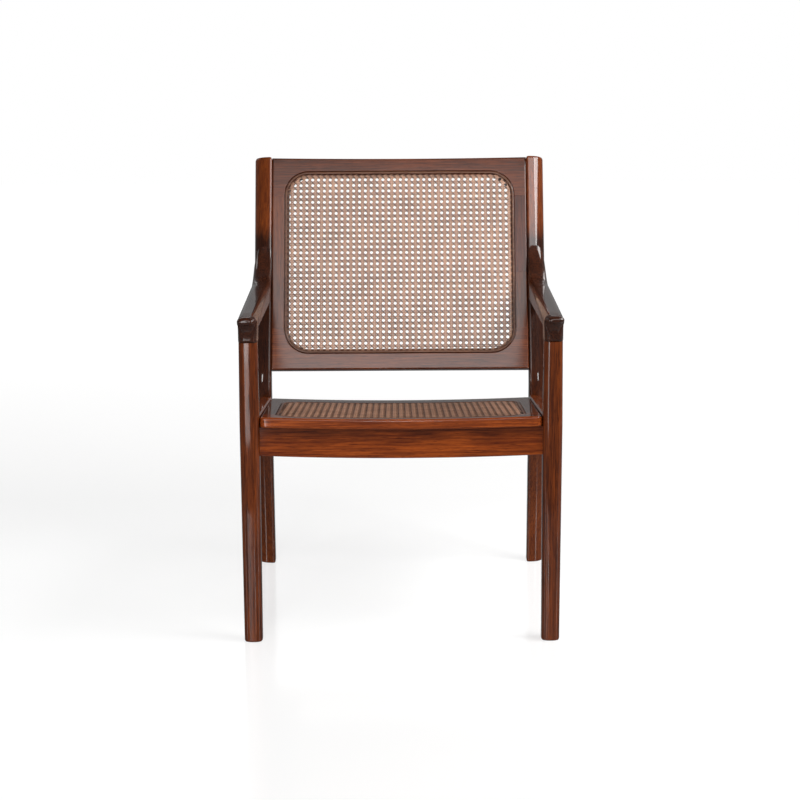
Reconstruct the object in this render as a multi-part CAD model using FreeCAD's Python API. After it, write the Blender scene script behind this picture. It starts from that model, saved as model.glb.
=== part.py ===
import FreeCAD, Part
import math
import os

# Lounge armchair of lacquered hardwood with caned back and seat. Millimetres, Z up.
# While it is laid out, Y = 0 is the front face of the front legs, X = 0 the middle.
# Left and right are those of a person who looks at the chair's front.
V = FreeCAD.Vector

# Front legs
front_leg_spread = 574.0
front_leg_size = 38.0
front_leg_top_size = 36.5
front_foot_size = 35.0
front_leg_corner = 12.0
front_tenon_diameter = 20.0
front_tenon_length = 25.0
foot_rounding = 3.0

# Rear legs, which run up as the back posts
rear_post_width = 37.3
rear_post_inner = 275.2
rear_foot_width = 35.0
rear_foot_inner = 272.4
rear_foot_setback = 544.5
rear_foot_depth = 35.0
knee_height = 400.0
knee_depth = 44.0
knee_bend_radius = 120.0
knee_bend_steps = 4
post_top_depth = 37.0
post_corner = 10.0
post_proud = 2.8
post_above_panel = 2.5
post_end_rounding = 5.0

# Back panel
back_lean = 22.0
back_bottom_height = 425.0
back_bottom_setback = 545.0
back_width = 549.0
back_height = 466.5
back_thickness = 24.0
back_crest_dip = 2.5
back_top_width = 40.4
back_bottom_width = 44.8
back_stile_width = 36.2
back_opening_corner = 43.0
back_edge_round = 3.0
corner_landing = 3.0
stile_scarf_from_top = 254.7

# Seat frame, which lies between the legs
seat_front_height = 446.0
seat_rear_height = 368.0
seat_front_setback = 4.0
seat_depth = 516.0
seat_front_width = 533.0
seat_rear_width = 548.0
seat_thickness = 20.0
seat_dish = 5.0
seat_front_rail_width = 40.5
seat_rear_rail_width = 98.0
seat_side_rail_width = 36.0
seat_opening_corner = 43.0
seat_front_corner = 10.0
seat_rear_corner = 8.0
seat_edge_round = 4.0

# Cane and the reed that wedges it in its groove. The back's webbing lies a little off the middle.
cane_pitch = 12.65
cane_row_pitch = 12.42
cane_hole = 5.6
back_cane_shift = -3.7
back_cane_rise = 1.2
cane_thickness = 1.2
lip_width = 3.5
groove_width = 5.8
groove_depth = 6.0
reed_width = 3.8
reed_proud = 0.8
hole_step = 2
back_hole_columns = 20
back_hole_rows = 15
seat_hole_columns = 18
seat_hole_rows = 15

# Arms
arm_height = 643.0
arm_fall = 3.4
arm_nose_reach = 16.0
arm_front_width = 37.0
arm_rear_width = 41.0
arm_nose_width = 32.0
arm_front_thickness = 33.0
arm_rear_thickness = 46.0
arm_head_height = 46.0
arm_lip = 12.0
arm_top_round = 12.0
arm_under_round = 9.0
arm_rear_outer = 316.5
arm_cove_radius = 60.0
arm_cove_steps = 6
arm_nose_sections_share = (
    (1, 0.35, 0),
    (0.8, 0.05, 0.08),
    (0.45, 0, 0.2),
    (0.15, 0, 0.5),
)
arm_dowel_drop = 18.0
arm_dowel_gap = 20.0

# Rails under the seat
apron_setback = 14.0
apron_thickness = 24.0
apron_height = 78.0
apron_bow = 5.7
side_rail_thickness = 25.0
side_rail_height = 76.0
side_rail_proud = 3.0
side_rail_round = 4.0
rear_rail_thickness = 22.0
rear_rail_height = 50.0
tenon_thickness = 9.0
tenon_shoulder = 10.0
apron_tenon_length = 12.0
side_tenon_length = 20.0
side_tenon_offset = 6.0

# Corner blocks, dowels and screws
block_leg = 62.0
block_thickness = 24.0
dowel_chamfer_share = 0.12
dowel_diameter = 8.0
dowel_length = 40.0
big_dowel_diameter = 10.0
big_dowel_length = 36.0
panel_dowel_shares = (0.29, 0.65)
back_dowel_shares = (0.24, 0.64)
seat_dowel_shares = (0.3, 0.7)
screw_diameter = 4.0
screw_head_diameter = 8.0
screw_head_height = 3.0
screw_tip_length = 4.0
screw_bite = 14.0
block_screw_share = 0.7
seat_screw_side_share = 0.28
seat_screw_front_share = 0.28
seat_screw_rear_share = 0.42

# Fits
glue_gap = 0.2
bed_gap = 0.3
overrun = 20.0
sharp_round = 0.01
joined = 0.001
largest_round_share = 0.45

# Worked out from the sizes above
right_angle = math.pi / 2
lean = math.radians(back_lean)
fall = math.tan(math.radians(arm_fall))
front_leg_x = front_leg_spread / 2
front_leg_y = front_leg_size / 2
front_leg_inner = front_leg_x - front_leg_size / 2
arm_joint_height = arm_height - arm_head_height
arm_head_end = front_leg_size
apron_bottom_height = seat_front_height - apron_height
seat_run = math.hypot(seat_depth, seat_front_height - seat_rear_height)
seat_tilt = math.degrees(math.atan2(seat_front_height - seat_rear_height, seat_depth))
seat_place = FreeCAD.Placement(
    V(0, seat_front_setback, seat_front_height), FreeCAD.Rotation(V(1, 0, 0), -seat_tilt))
back_place = FreeCAD.Placement(
    V(0, back_bottom_setback, back_bottom_height), FreeCAD.Rotation(V(1, 0, 0), -back_lean))


def rounded_wire(points, radii):
    """Closed wire through the points, with an arc of its radius at each corner."""
    turns = []
    count = len(points)
    for index, point in enumerate(points):
        before = points[index - 1] - point
        after = points[(index + 1) % count] - point
        before.normalize()
        after.normalize()
        half_angle = before.getAngle(after) / 2
        tangent = radii[index] / math.tan(half_angle)
        middle = before + after
        middle.normalize()
        bulge = point + middle * (radii[index] / math.sin(half_angle) - radii[index])
        turns.append((point + before * tangent, bulge, point + after * tangent))
    edges = []
    for index, (start, bulge, end) in enumerate(turns):
        if radii[index]:
            edges.append(Part.Arc(start, bulge, end).toShape())
        following = turns[(index + 1) % count][0]
        if end.distanceToPoint(following) > joined:
            edges.append(Part.LineSegment(end, following).toShape())
    return Part.Wire(edges)


def prism(points, direction, radii=None):
    """Solid from a flat outline, swept along a direction."""
    outline = rounded_wire(points, radii or [0] * len(points))
    return Part.Face(outline).extrude(direction)


def block(low_x, high_x, low_y, high_y, low_z, high_z):
    """Box between two corners."""
    return Part.makeBox(high_x - low_x, high_y - low_y, high_z - low_z, V(low_x, low_y, low_z))


def mirrored(shape):
    """The same piece for the left side."""
    return shape.mirror(V(0, 0, 0), V(1, 0, 0))


def pair(shape):
    """A piece and its twin on the other side."""
    return [shape, mirrored(shape)]


def rod(centre, axis, diameter, length):
    """Dowel about its centre, with both ends chamfered."""
    axis = V(axis)
    axis.normalize()
    start = centre - axis * (length / 2)
    solid = Part.makeCylinder(diameter / 2, length, start, axis)
    rims = [edge for edge in solid.Edges if edge.Closed]
    return solid.makeChamfer(diameter * dowel_chamfer_share, rims)


def rod_hole(centre, axis, diameter, length):
    """Hole for a dowel, wider and longer by the glue gap."""
    axis = V(axis)
    axis.normalize()
    start = centre - axis * (length / 2 + glue_gap)
    return Part.makeCylinder(diameter / 2 + glue_gap / 2, length + glue_gap * 2, start, axis)


def big_dowels(middles, axis):
    """Dowels on both sides, and the holes that they need on the right side."""
    rods = []
    holes = []
    for middle in middles:
        rods += pair(rod(middle, axis, big_dowel_diameter, big_dowel_length))
        holes.append(rod_hole(middle, axis, big_dowel_diameter, big_dowel_length))
    return Part.makeCompound(rods), Part.makeCompound(holes)


def screw(head, axis, length):
    """Countersunk screw: the middle of its head's face, and the way that it points."""
    axis = V(axis)
    axis.normalize()
    shank = Part.makeCylinder(screw_diameter / 2, length - screw_tip_length, head, axis)
    cone = Part.makeCone(screw_head_diameter / 2, screw_diameter / 2, screw_head_height, head, axis)
    tip_start = head + axis * (length - screw_tip_length)
    tip = Part.makeCone(screw_diameter / 2, 0, screw_tip_length, tip_start, axis)
    return shank.fuse([cone, tip]).removeSplitter()


def screw_hole(head, axis, length):
    """Countersunk hole for a screw, open behind the head."""
    axis = V(axis)
    axis.normalize()
    radius = (screw_diameter + glue_gap) / 2
    shank = Part.makeCylinder(radius, length + glue_gap, head, axis)
    head_radius = screw_head_diameter / 2 + glue_gap
    cone = Part.makeCone(head_radius, radius, screw_head_height + glue_gap, head, axis)
    way_in = Part.makeCylinder(head_radius, overrun, head - axis * overrun, axis)
    return shank.fuse([cone, way_in])


def outer_shell(sections):
    """Solid that runs straight from each rounded section to the next."""
    return Part.makeLoft(sections, True, True)


# Front legs: straight posts that swell to the seat and narrow to the foot and the arm

def front_leg_section(height, size):
    half = size / 2
    corner = min(front_leg_corner, size * largest_round_share)
    points = [
        V(front_leg_x - half, front_leg_y - half, height),
        V(front_leg_x + half, front_leg_y - half, height),
        V(front_leg_x + half, front_leg_y + half, height),
        V(front_leg_x - half, front_leg_y + half, height),
    ]
    return rounded_wire(points, [corner] * len(points))


def front_leg_body():
    waist = seat_front_height - seat_thickness
    foot = front_foot_size - foot_rounding * 2
    return outer_shell([
        front_leg_section(0, foot),
        front_leg_section(foot_rounding, front_foot_size),
        front_leg_section(waist, front_leg_size),
        front_leg_section(arm_joint_height, front_leg_top_size),
    ])


def front_tenon(gap):
    """Round tenon on the leg's top, or its hole in the arm when a gap is given."""
    bottom = V(front_leg_x, front_leg_y, arm_joint_height - glue_gap)
    return Part.makeCylinder(front_tenon_diameter / 2 + gap, front_tenon_length + glue_gap + gap, bottom)


# Rear legs: one bent piece each, a straight leg up to the knee and a leaning back post

def on_back(across, rise, behind):
    """Point from its place across the panel, up its slope and behind its front face."""
    return back_place.multVec(V(across, behind, rise))


def rear_leg_section(centre_y, centre_z, depth, width, inner, tilt):
    """Rounded section of the rear leg, square to a direction that leans back by the tilt."""
    half = depth / 2
    slope = math.radians(tilt)
    ahead = V(0, -math.cos(slope) * half, math.sin(slope) * half)
    centre = V(0, centre_y, centre_z)
    corner = min(post_corner, min(depth, width) * largest_round_share)
    near = centre + ahead
    far = centre - ahead
    points = [
        near + V(inner, 0, 0),
        near + V(inner + width, 0, 0),
        far + V(inner + width, 0, 0),
        far + V(inner, 0, 0),
    ]
    return rounded_wire(points, [corner] * len(points))


def rear_leg_line():
    """Knee of the leg's middle line, and how far the straight leg below it leans, in degrees."""
    middle = knee_depth / 2 - post_proud
    rise = (knee_height - back_bottom_height + middle * math.sin(lean)) / math.cos(lean)
    knee = on_back(0, rise, middle)
    lower_tilt = math.degrees(math.atan2(knee.y - rear_foot_setback, knee.z))
    return knee, lower_tilt


def rear_leg_body():
    knee, lower_tilt = rear_leg_line()
    sections = []
    for inset, height in ((foot_rounding, 0), (0, foot_rounding)):
        depth = rear_foot_depth - inset * 2
        width = rear_foot_width - inset * 2
        inner = rear_foot_inner + inset
        sections.append(rear_leg_section(rear_foot_setback, height, depth, width, inner, 0))
    turn = math.radians(back_lean - lower_tilt)
    tangent = knee_bend_radius * math.tan(turn / 2)
    lower = math.radians(lower_tilt)
    bend_centre_y = knee.y - math.sin(lower) * tangent + math.cos(lower) * knee_bend_radius
    bend_centre_z = knee.z - math.cos(lower) * tangent - math.sin(lower) * knee_bend_radius
    for step in range(knee_bend_steps + 1):
        angle = lower + turn * step / knee_bend_steps
        centre_y = bend_centre_y - math.cos(angle) * knee_bend_radius
        centre_z = bend_centre_z + math.sin(angle) * knee_bend_radius
        tilt = math.degrees(angle)
        sections.append(
            rear_leg_section(centre_y, centre_z, knee_depth, rear_post_width, rear_post_inner, tilt))
    top_rise = back_height + post_above_panel
    for below, inset in ((post_end_rounding, 0), (0, post_end_rounding)):
        middle = on_back(0, top_rise - below, post_top_depth / 2 - post_proud)
        sections.append(rear_leg_section(
            middle.y, middle.z, post_top_depth - inset, rear_post_width - inset,
            rear_post_inner + inset / 2, back_lean))
    return outer_shell(sections)


# Seat frame: a shallow trough, hollow across, that falls to the back

def dished_layer(upper, lower):
    """Layer of the seat between two depths below its hollow upper face, in the seat's axes."""
    half_span = seat_front_width / 2
    bend = (half_span ** 2 + seat_dish ** 2) / (seat_dish * 2)
    centre_z = bend - seat_dish
    reach = math.asin((seat_rear_width / 2 + overrun) / bend)
    arcs = []
    for depth in (upper, lower):
        radius = bend + depth
        side = radius * math.sin(reach)
        level = centre_z - radius * math.cos(reach)
        middle = V(0, -overrun, centre_z - radius)
        arcs.append((V(-side, -overrun, level), middle, V(side, -overrun, level)))
    top, bottom = arcs
    edges = [
        Part.Arc(*top).toShape(),
        Part.LineSegment(top[2], bottom[2]).toShape(),
        Part.Arc(bottom[2], bottom[1], bottom[0]).toShape(),
        Part.LineSegment(bottom[0], top[0]).toShape(),
    ]
    return Part.Face(Part.Wire(edges)).extrude(V(0, rear_foot_setback + overrun * 2, 0))


def seat_half_width(run):
    """Half of the seat frame's width at a distance behind its front edge."""
    return (seat_front_width + (seat_rear_width - seat_front_width) * run / seat_run) / 2


def seat_column(points, radii):
    """Upright column through the whole seat, from a plan outline in the seat's axes."""
    lift = V(0, 0, -seat_thickness - block_thickness - overrun)
    raised = [point + lift for point in points]
    return prism(raised, V(0, 0, seat_thickness + block_thickness + overrun * 2), radii)


def seat_outline_column():
    front = seat_half_width(0)
    rear = seat_half_width(seat_run)
    points = [V(-front, 0, 0), V(front, 0, 0), V(rear, seat_run, 0), V(-rear, seat_run, 0)]
    radii = [seat_front_corner, seat_front_corner, seat_rear_corner, seat_rear_corner]
    return seat_column(points, radii)


def seat_opening_column(grow):
    """Column through the seat's opening, or through an outline that much larger all round."""
    first = seat_front_rail_width - grow
    last = seat_run - seat_rear_rail_width + grow
    near = seat_half_width(first) - seat_side_rail_width + grow
    far = seat_half_width(last) - seat_side_rail_width + grow
    points = [V(-near, first, 0), V(near, first, 0), V(far, last, 0), V(-far, last, 0)]
    return seat_column(points, [seat_opening_corner + grow] * len(points))


def ring(column, inner, outer):
    """Band between two growths of one opening's column."""
    return column(outer).cut(column(inner))


def seat_frame_whole():
    frame = seat_outline_column().common(dished_layer(0, seat_thickness))
    rims = [edge for edge in frame.Edges if edge.BoundBox.ZLength < seat_thickness / 2]
    edge_round = min(seat_edge_round, seat_thickness * largest_round_share)
    frame = frame.makeFillet(edge_round, rims).cut(seat_opening_column(0))
    lip = seat_opening_column(lip_width).common(dished_layer(-overrun, cane_thickness + glue_gap))
    groove = ring(seat_opening_column, lip_width, lip_width + groove_width)
    return frame.cut(lip).cut(groove.common(dished_layer(-overrun, groove_depth)))


def seat_joint_runs():
    """Where the front and rear rails end and the side rails begin."""
    grow = lip_width + groove_width
    corner = seat_opening_corner + grow + corner_landing
    front = seat_front_rail_width - grow + corner
    rear = seat_run - seat_rear_rail_width + grow - corner
    return front, rear


def seat_slice(shape, low_x, high_x, low_run, high_run):
    depth = seat_thickness + seat_dish + overrun
    return shape.common(block(low_x, high_x, low_run, high_run, -depth, overrun))


def seat_dowels():
    """Middles of the dowels at the seat frame's corners, in the seat's axes."""
    middles = []
    for run in seat_joint_runs():
        for share in seat_dowel_shares:
            across = seat_half_width(run) - seat_side_rail_width * share
            middles.append(V(across, run, -(seat_thickness + groove_depth) / 2))
    return middles


def seat_screw_parts():
    """Screws that hold the seat down on its corner blocks, in the seat's axes: head, way and length."""
    depth = seat_thickness + bed_gap + block_thickness
    slope = math.radians(seat_tilt)
    screws = []
    shares = (seat_screw_front_share, seat_screw_rear_share)
    for share, (name, start, direction) in zip(shares, block_corners()):
        setback = start + block_leg * share * direction
        across = block_side_x(setback) - block_leg * seat_screw_side_share
        run = (setback - seat_front_setback) / math.cos(slope) + depth * math.tan(slope) / 2
        screws.append((V(across, run, -depth), V(0, 0, 1), block_thickness + bed_gap + screw_bite))
    return screws


def seat_pieces():
    """The four rails of the seat frame, by name, in the chair's place."""
    whole = seat_frame_whole()
    for middle in seat_dowels():
        hole = rod_hole(middle, V(0, 1, 0), dowel_diameter, dowel_length)
        whole = whole.cut(Part.makeCompound(pair(hole)))
    for part in seat_screw_parts():
        whole = whole.cut(Part.makeCompound(pair(screw_hole(*part))))
    front, rear = seat_joint_runs()
    wide = seat_rear_width
    pieces = {
        "seat_front_rail": seat_slice(whole, -wide, wide, -overrun, front),
        "seat_rear_rail": seat_slice(whole, -wide, wide, rear, seat_run + overrun),
        "seat_side_rail_left": seat_slice(whole, -wide, 0, front, rear),
        "seat_side_rail_right": seat_slice(whole, 0, wide, front, rear),
    }
    return {name: placed(shape, seat_place) for name, shape in pieces.items()}


def placed(shape, placement):
    """Shape moved from its own axes to the chair's."""
    moved = shape.copy()
    moved.Placement = placement.multiply(moved.Placement)
    return moved


# Cane: one pierced sheet for each frame, turned down into the groove and wedged by the reed

def hole_places(columns, rows, shift, rise):
    """Middles of the pierced holes, about the opening's middle, moved as the webbing lies."""
    places = []
    for row in range(rows):
        along = (row * hole_step - (rows * hole_step - 1) / 2) * cane_row_pitch + rise
        for column in range(columns // 2):
            across = (column * hole_step + 1 / 2) * cane_pitch
            places.append((shift + across, along))
            places.append((shift - across, along))
    return places


def inside_corner(across, along, half_width, half_length, radius):
    """Whether a hole at a place lies clear of a rounded opening's edge."""
    margin = cane_hole / 2 + cane_thickness
    over_x = abs(across) - (half_width - radius)
    over_y = abs(along) - (half_length - radius)
    if over_x > 0 and over_y > 0:
        return math.hypot(over_x, over_y) + margin < radius
    return over_x + margin < radius and over_y + margin < radius


def seat_cane():
    sheet = seat_opening_column(lip_width - glue_gap).common(dished_layer(0, cane_thickness))
    edge_inner = lip_width - glue_gap
    edge_outer = lip_width + glue_gap + cane_thickness
    edge = ring(seat_opening_column, lip_width + glue_gap, edge_outer)
    edge = edge.common(dished_layer(0, groove_depth - glue_gap))
    fold = ring(seat_opening_column, edge_inner, edge_outer).common(dished_layer(0, cane_thickness))
    sheet = sheet.fuse([fold, edge]).removeSplitter()
    first = seat_front_rail_width
    last = seat_run - seat_rear_rail_width
    middle = (first + last) / 2
    half_width = seat_half_width(middle) - seat_side_rail_width
    half_length = (last - first) / 2
    holes = []
    for across, along in hole_places(seat_hole_columns, seat_hole_rows, 0, 0):
        if inside_corner(across, along, half_width, half_length, seat_opening_corner):
            start = V(across, middle + along, -seat_dish - cane_thickness * 2)
            holes.append(Part.makeCylinder(cane_hole / 2, seat_dish + cane_thickness * 3, start))
    return placed(sheet.cut(Part.makeCompound(holes)), seat_place)


def seat_reed():
    inner = lip_width + glue_gap * 2 + cane_thickness
    band = ring(seat_opening_column, inner, inner + reed_width)
    return placed(band.common(dished_layer(-reed_proud, groove_depth - glue_gap)), seat_place)


# Back panel: a flat frame that leans between the posts

def panel_column(points, radii, first=None, last=None):
    """Column through the panel's thickness from an outline of places across and up."""
    start = -overrun if first is None else first
    end = back_thickness + overrun if last is None else last
    moved = [V(x, start, z) for x, z in points]
    return prism(moved, V(0, end - start, 0), radii)


def back_opening_points(grow):
    half = back_width / 2 - back_stile_width + grow
    bottom = back_bottom_width - grow
    top = back_height - back_top_width + grow
    return [(-half, bottom), (half, bottom), (half, top), (-half, top)]


def back_opening_column(grow, first=None, last=None):
    points = back_opening_points(grow)
    return panel_column(points, [back_opening_corner + grow] * len(points), first, last)


def back_slab():
    """Whole panel: straight sides and foot, and a top edge that dips to the middle."""
    half = back_width / 2
    left_foot = V(-half, 0, 0)
    right_foot = V(half, 0, 0)
    left_top = V(-half, 0, back_height)
    right_top = V(half, 0, back_height)
    edges = [
        Part.LineSegment(left_foot, right_foot).toShape(),
        Part.LineSegment(right_foot, right_top).toShape(),
        Part.Arc(right_top, V(0, 0, back_height - back_crest_dip), left_top).toShape(),
        Part.LineSegment(left_top, left_foot).toShape(),
    ]
    slab = Part.Face(Part.Wire(edges)).extrude(V(0, back_thickness, 0))
    rims = [edge for edge in slab.Edges if edge.BoundBox.YLength < back_thickness / 2]
    return slab.makeFillet(min(back_edge_round, back_thickness * largest_round_share), rims)


def back_frame_whole():
    frame = back_slab().cut(back_opening_column(0))
    lip = back_opening_column(lip_width, -overrun, cane_thickness + glue_gap)
    outer = back_opening_column(lip_width + groove_width, -overrun, groove_depth)
    inner = back_opening_column(lip_width, -overrun * 2, groove_depth + overrun)
    return frame.cut(lip).cut(outer.cut(inner))


def back_joint_rises():
    """Heights up the panel of its bottom joints, its top joints and the scarf in one stile."""
    corner = back_opening_corner + corner_landing
    top = back_height - back_top_width - corner
    return back_bottom_width + corner, top, back_height - stile_scarf_from_top


def back_dowel_middles():
    """Middles of the dowels along the stiles, as places across, behind and up."""
    bottom, top, scarf = back_joint_rises()
    behind = (back_thickness + groove_depth) / 2
    middles = []
    for share in back_dowel_shares:
        across = back_width / 2 - back_stile_width * share
        for rise in (bottom, top):
            middles.append(V(across, behind, rise))
            middles.append(V(-across, behind, rise))
        middles.append(V(across, behind, scarf))
    return middles


def panel_dowel_middles():
    """Middles of the dowels from the posts into the stiles."""
    face = (back_width / 2 + rear_post_inner) / 2
    return [V(face, back_thickness / 2, back_height * share) for share in panel_dowel_shares]


def back_pieces():
    """The pieces of the back frame, by name, in the chair's place."""
    whole = back_frame_whole()
    holes = [rod_hole(middle, V(0, 0, 1), dowel_diameter, dowel_length) for middle in back_dowel_middles()]
    for middle in panel_dowel_middles():
        holes += pair(rod_hole(middle, V(1, 0, 0), big_dowel_diameter, big_dowel_length))
    whole = whole.cut(Part.makeCompound(holes))
    bottom, top, scarf = back_joint_rises()
    half = back_width

    def cut_out(low_x, high_x, low_z, high_z):
        return whole.common(block(low_x, high_x, -overrun, back_thickness + overrun, low_z, high_z))

    pieces = {
        "back_top_rail": cut_out(-half, half, top, back_height + overrun),
        "back_bottom_rail": cut_out(-half, half, -overrun, bottom),
        "back_stile_left": cut_out(-half, 0, bottom, top),
        "back_stile_right_upper": cut_out(0, half, scarf, top),
        "back_stile_right_lower": cut_out(0, half, bottom, scarf),
    }
    return {name: placed(shape, back_place) for name, shape in pieces.items()}


def back_cane():
    half = back_width / 2 - back_stile_width
    bottom = back_bottom_width
    top = back_height - back_top_width
    middle = (bottom + top) / 2
    grow = lip_width + glue_gap + cane_thickness
    outline = [V(x, 0, z) for x, z in back_opening_points(grow)]
    wires = [rounded_wire(outline, [back_opening_corner + grow] * len(outline))]
    for across, along in hole_places(back_hole_columns, back_hole_rows, back_cane_shift, back_cane_rise):
        if inside_corner(across, along, half, (top - bottom) / 2, back_opening_corner):
            circle = Part.makeCircle(cane_hole / 2, V(across, 0, middle + along), V(0, 1, 0))
            wires.append(Part.Wire([circle]))
    sheet = Part.makeFace(wires, "Part::FaceMakerBullseye").extrude(V(0, cane_thickness, 0))
    edge = back_opening_column(grow, 0, groove_depth - glue_gap)
    edge = edge.cut(back_opening_column(lip_width + glue_gap))
    return placed(sheet.fuse(edge).removeSplitter(), back_place)


def back_reed():
    inner = lip_width + glue_gap * 2 + cane_thickness
    outer = back_opening_column(inner + reed_width, -reed_proud, groove_depth - glue_gap)
    return placed(outer.cut(back_opening_column(inner)), back_place)


# Arms: a nose that hangs over the leg, a head block on the leg, and a rear end that sweeps up the post

def arm_top(setback):
    """Height of the arm's upper line at a distance behind the legs' front face."""
    return arm_height - (setback + arm_nose_reach) * fall


def post_face_y(height):
    """Front face of the leaning post at a height."""
    rise = (height - back_bottom_height - post_proud * math.sin(lean)) / math.cos(lean)
    return on_back(0, rise, -post_proud).y


def arm_section(setback, inner, outer, bottom, top, top_round, under_round):
    height = top - bottom
    width = outer - inner
    high = min(top_round, height * largest_round_share, width * largest_round_share)
    low = min(under_round, height * largest_round_share, width * largest_round_share)
    points = [
        V(inner, setback, bottom),
        V(outer, setback, bottom),
        V(outer, setback, top),
        V(inner, setback, top),
    ]
    return rounded_wire(points, [low, low, high, high])


def arm_body():
    """Arm before its joints are cut, from the nose to behind the post's face."""
    foot = post_face_y(arm_top(rear_foot_setback))
    sweep = right_angle - lean + math.radians(arm_fall)
    cove_start = foot - arm_cove_radius * math.tan(sweep / 2)
    rear_inner = arm_rear_outer - arm_rear_width
    front_outer = front_leg_x + arm_front_width / 2
    front_inner = front_leg_x - arm_front_width / 2

    def share_back(setback):
        return (setback - front_leg_y) / (foot - front_leg_y)

    def inner_at(setback):
        return front_inner + (rear_inner - front_inner) * share_back(setback)

    def outer_at(setback):
        return front_outer + (arm_rear_outer - front_outer) * share_back(setback)

    def under_at(setback):
        thickness = arm_front_thickness + (arm_rear_thickness - arm_front_thickness) * share_back(setback)
        return arm_top(setback) - thickness

    lip_bottom = arm_height - arm_lip
    head_fall = lip_bottom - arm_joint_height
    nose_inner = front_leg_x + arm_front_width / 2 - arm_nose_width
    sections = []
    for reach_share, drop_share, scoop_share in arm_nose_sections_share:
        setback = -arm_nose_reach * reach_share
        inner = nose_inner + (front_inner - nose_inner) * (1 - reach_share)
        bottom = lip_bottom - head_fall * scoop_share
        top = arm_top(setback) - arm_lip * drop_share
        sections.append(arm_section(setback, inner, front_outer, bottom, top, arm_lip, arm_lip))
    for setback in (0, arm_head_end):
        sections.append(arm_section(
            setback, inner_at(setback), outer_at(setback), arm_joint_height, arm_top(setback),
            arm_top_round, sharp_round))
    spring = arm_head_end + arm_head_height - arm_front_thickness
    for setback in (spring, cove_start):
        sections.append(arm_section(
            setback, inner_at(setback), outer_at(setback), under_at(setback), arm_top(setback),
            arm_top_round, arm_under_round))
    for step in range(1, arm_cove_steps + 1):
        angle = sweep * step / arm_cove_steps - math.radians(arm_fall)
        along = math.sin(angle) + math.sin(math.radians(arm_fall))
        rise = math.cos(math.radians(arm_fall)) - math.cos(angle)
        setback = cove_start + arm_cove_radius * along
        top = arm_top(cove_start) + arm_cove_radius * rise
        narrow = (arm_rear_outer - rear_post_inner - rear_post_width) * step / arm_cove_steps
        sections.append(arm_section(
            setback, inner_at(cove_start), outer_at(cove_start) - narrow, under_at(setback), top,
            arm_top_round, arm_under_round))
    last = setback + knee_depth
    sections.append(arm_section(
        last, inner_at(cove_start), outer_at(cove_start) - narrow, under_at(setback), top,
        arm_top_round, arm_under_round))
    return outer_shell(sections)


def behind_post_face():
    """Everything behind the round of the post's front corners."""
    start = post_corner - post_proud
    room = block(0, arm_rear_outer + overrun, start, arm_height, -back_height, back_height)
    return placed(room, back_place)


def arm_dowel_middles():
    """Middles of the two dowels from the arm's rear end into the post."""
    middles = []
    for drop in (arm_dowel_drop, arm_dowel_drop + arm_dowel_gap):
        height = arm_top(rear_foot_setback) - drop
        across = rear_post_inner + rear_post_width / 2
        middles.append(V(across, post_face_y(height), height))
    return middles


# Rails: the apron and the rear rail between the legs, and a rail along each side

def rail_inner_x(setback):
    """Inner face of the side rail, flush with the legs' inner faces at its own level."""
    level = (seat_rear_height + side_rail_proud - side_rail_height) / knee_height
    rear = rear_foot_inner + (rear_post_inner - rear_foot_inner) * level
    return front_leg_inner + (rear - front_leg_inner) * setback / rear_foot_setback


def seat_top_at(setback):
    """Height of the seat frame's upper edge above a place."""
    slope = (seat_front_height - seat_rear_height) / seat_depth
    return seat_front_height - (setback - seat_front_setback) * slope


def below_seat(gap):
    """Everything under the seat frame, less a gap, in the chair's place."""
    return placed(dished_layer(seat_thickness + gap, seat_thickness + seat_front_height), seat_place)


def side_rail_blank():
    """Side rail before it is scribed to the legs."""
    front = front_leg_size
    rear = rear_leg_front() + post_corner
    top = seat_top_at(front) + side_rail_proud
    far_top = seat_top_at(rear) + side_rail_proud
    side = [
        V(0, front, top - side_rail_height),
        V(0, rear, far_top - side_rail_height),
        V(0, rear, far_top),
        V(0, front, top),
    ]
    elevation = prism(side, V(rear_post_inner * 2, 0, 0))
    plan = [
        V(rail_inner_x(front), front, 0),
        V(rail_inner_x(front) + side_rail_thickness, front, 0),
        V(rail_inner_x(rear) + side_rail_thickness, rear, 0),
        V(rail_inner_x(rear), rear, 0),
    ]
    rail = elevation.common(prism(plan, V(0, 0, seat_front_height + overrun * 2)))
    edges = [edge for edge in rail.Edges if edge.BoundBox.YLength > seat_depth / 2]
    return rail.makeFillet(min(side_rail_round, side_rail_thickness * largest_round_share), edges)


def side_rail_tenons(gap):
    """Tenons of the side rail, or their mortises when a gap is given."""
    rear = rear_leg_front()
    return [
        side_rail_tenon(front_leg_size, -side_tenon_length - gap, tenon_shoulder, gap),
        side_rail_tenon(rear, -tenon_shoulder, side_tenon_length + gap, gap),
    ]


def side_rail_tenon(setback, before, behind, gap):
    """One tenon across a leg's face, from a distance before it to a distance behind."""
    middle_x = rail_inner_x(setback) + side_rail_thickness / 2 + side_tenon_offset
    middle_z = seat_top_at(setback) + side_rail_proud - side_rail_height / 2
    half = tenon_thickness / 2 + gap
    rise = side_rail_height / 2 - tenon_shoulder + gap
    return block(
        middle_x - half, middle_x + half, setback + before, setback + behind,
        middle_z - rise, middle_z + rise)


def rear_leg_front():
    """Front face of the rear leg at the side rail's level."""
    knee, lower_tilt = rear_leg_line()
    level = seat_rear_height + side_rail_proud - side_rail_height / 2
    share = level / knee.z
    centre = rear_foot_setback + (knee.y - rear_foot_setback) * share
    depth = rear_foot_depth + (knee_depth - rear_foot_depth) * share
    return centre - depth / 2


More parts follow.
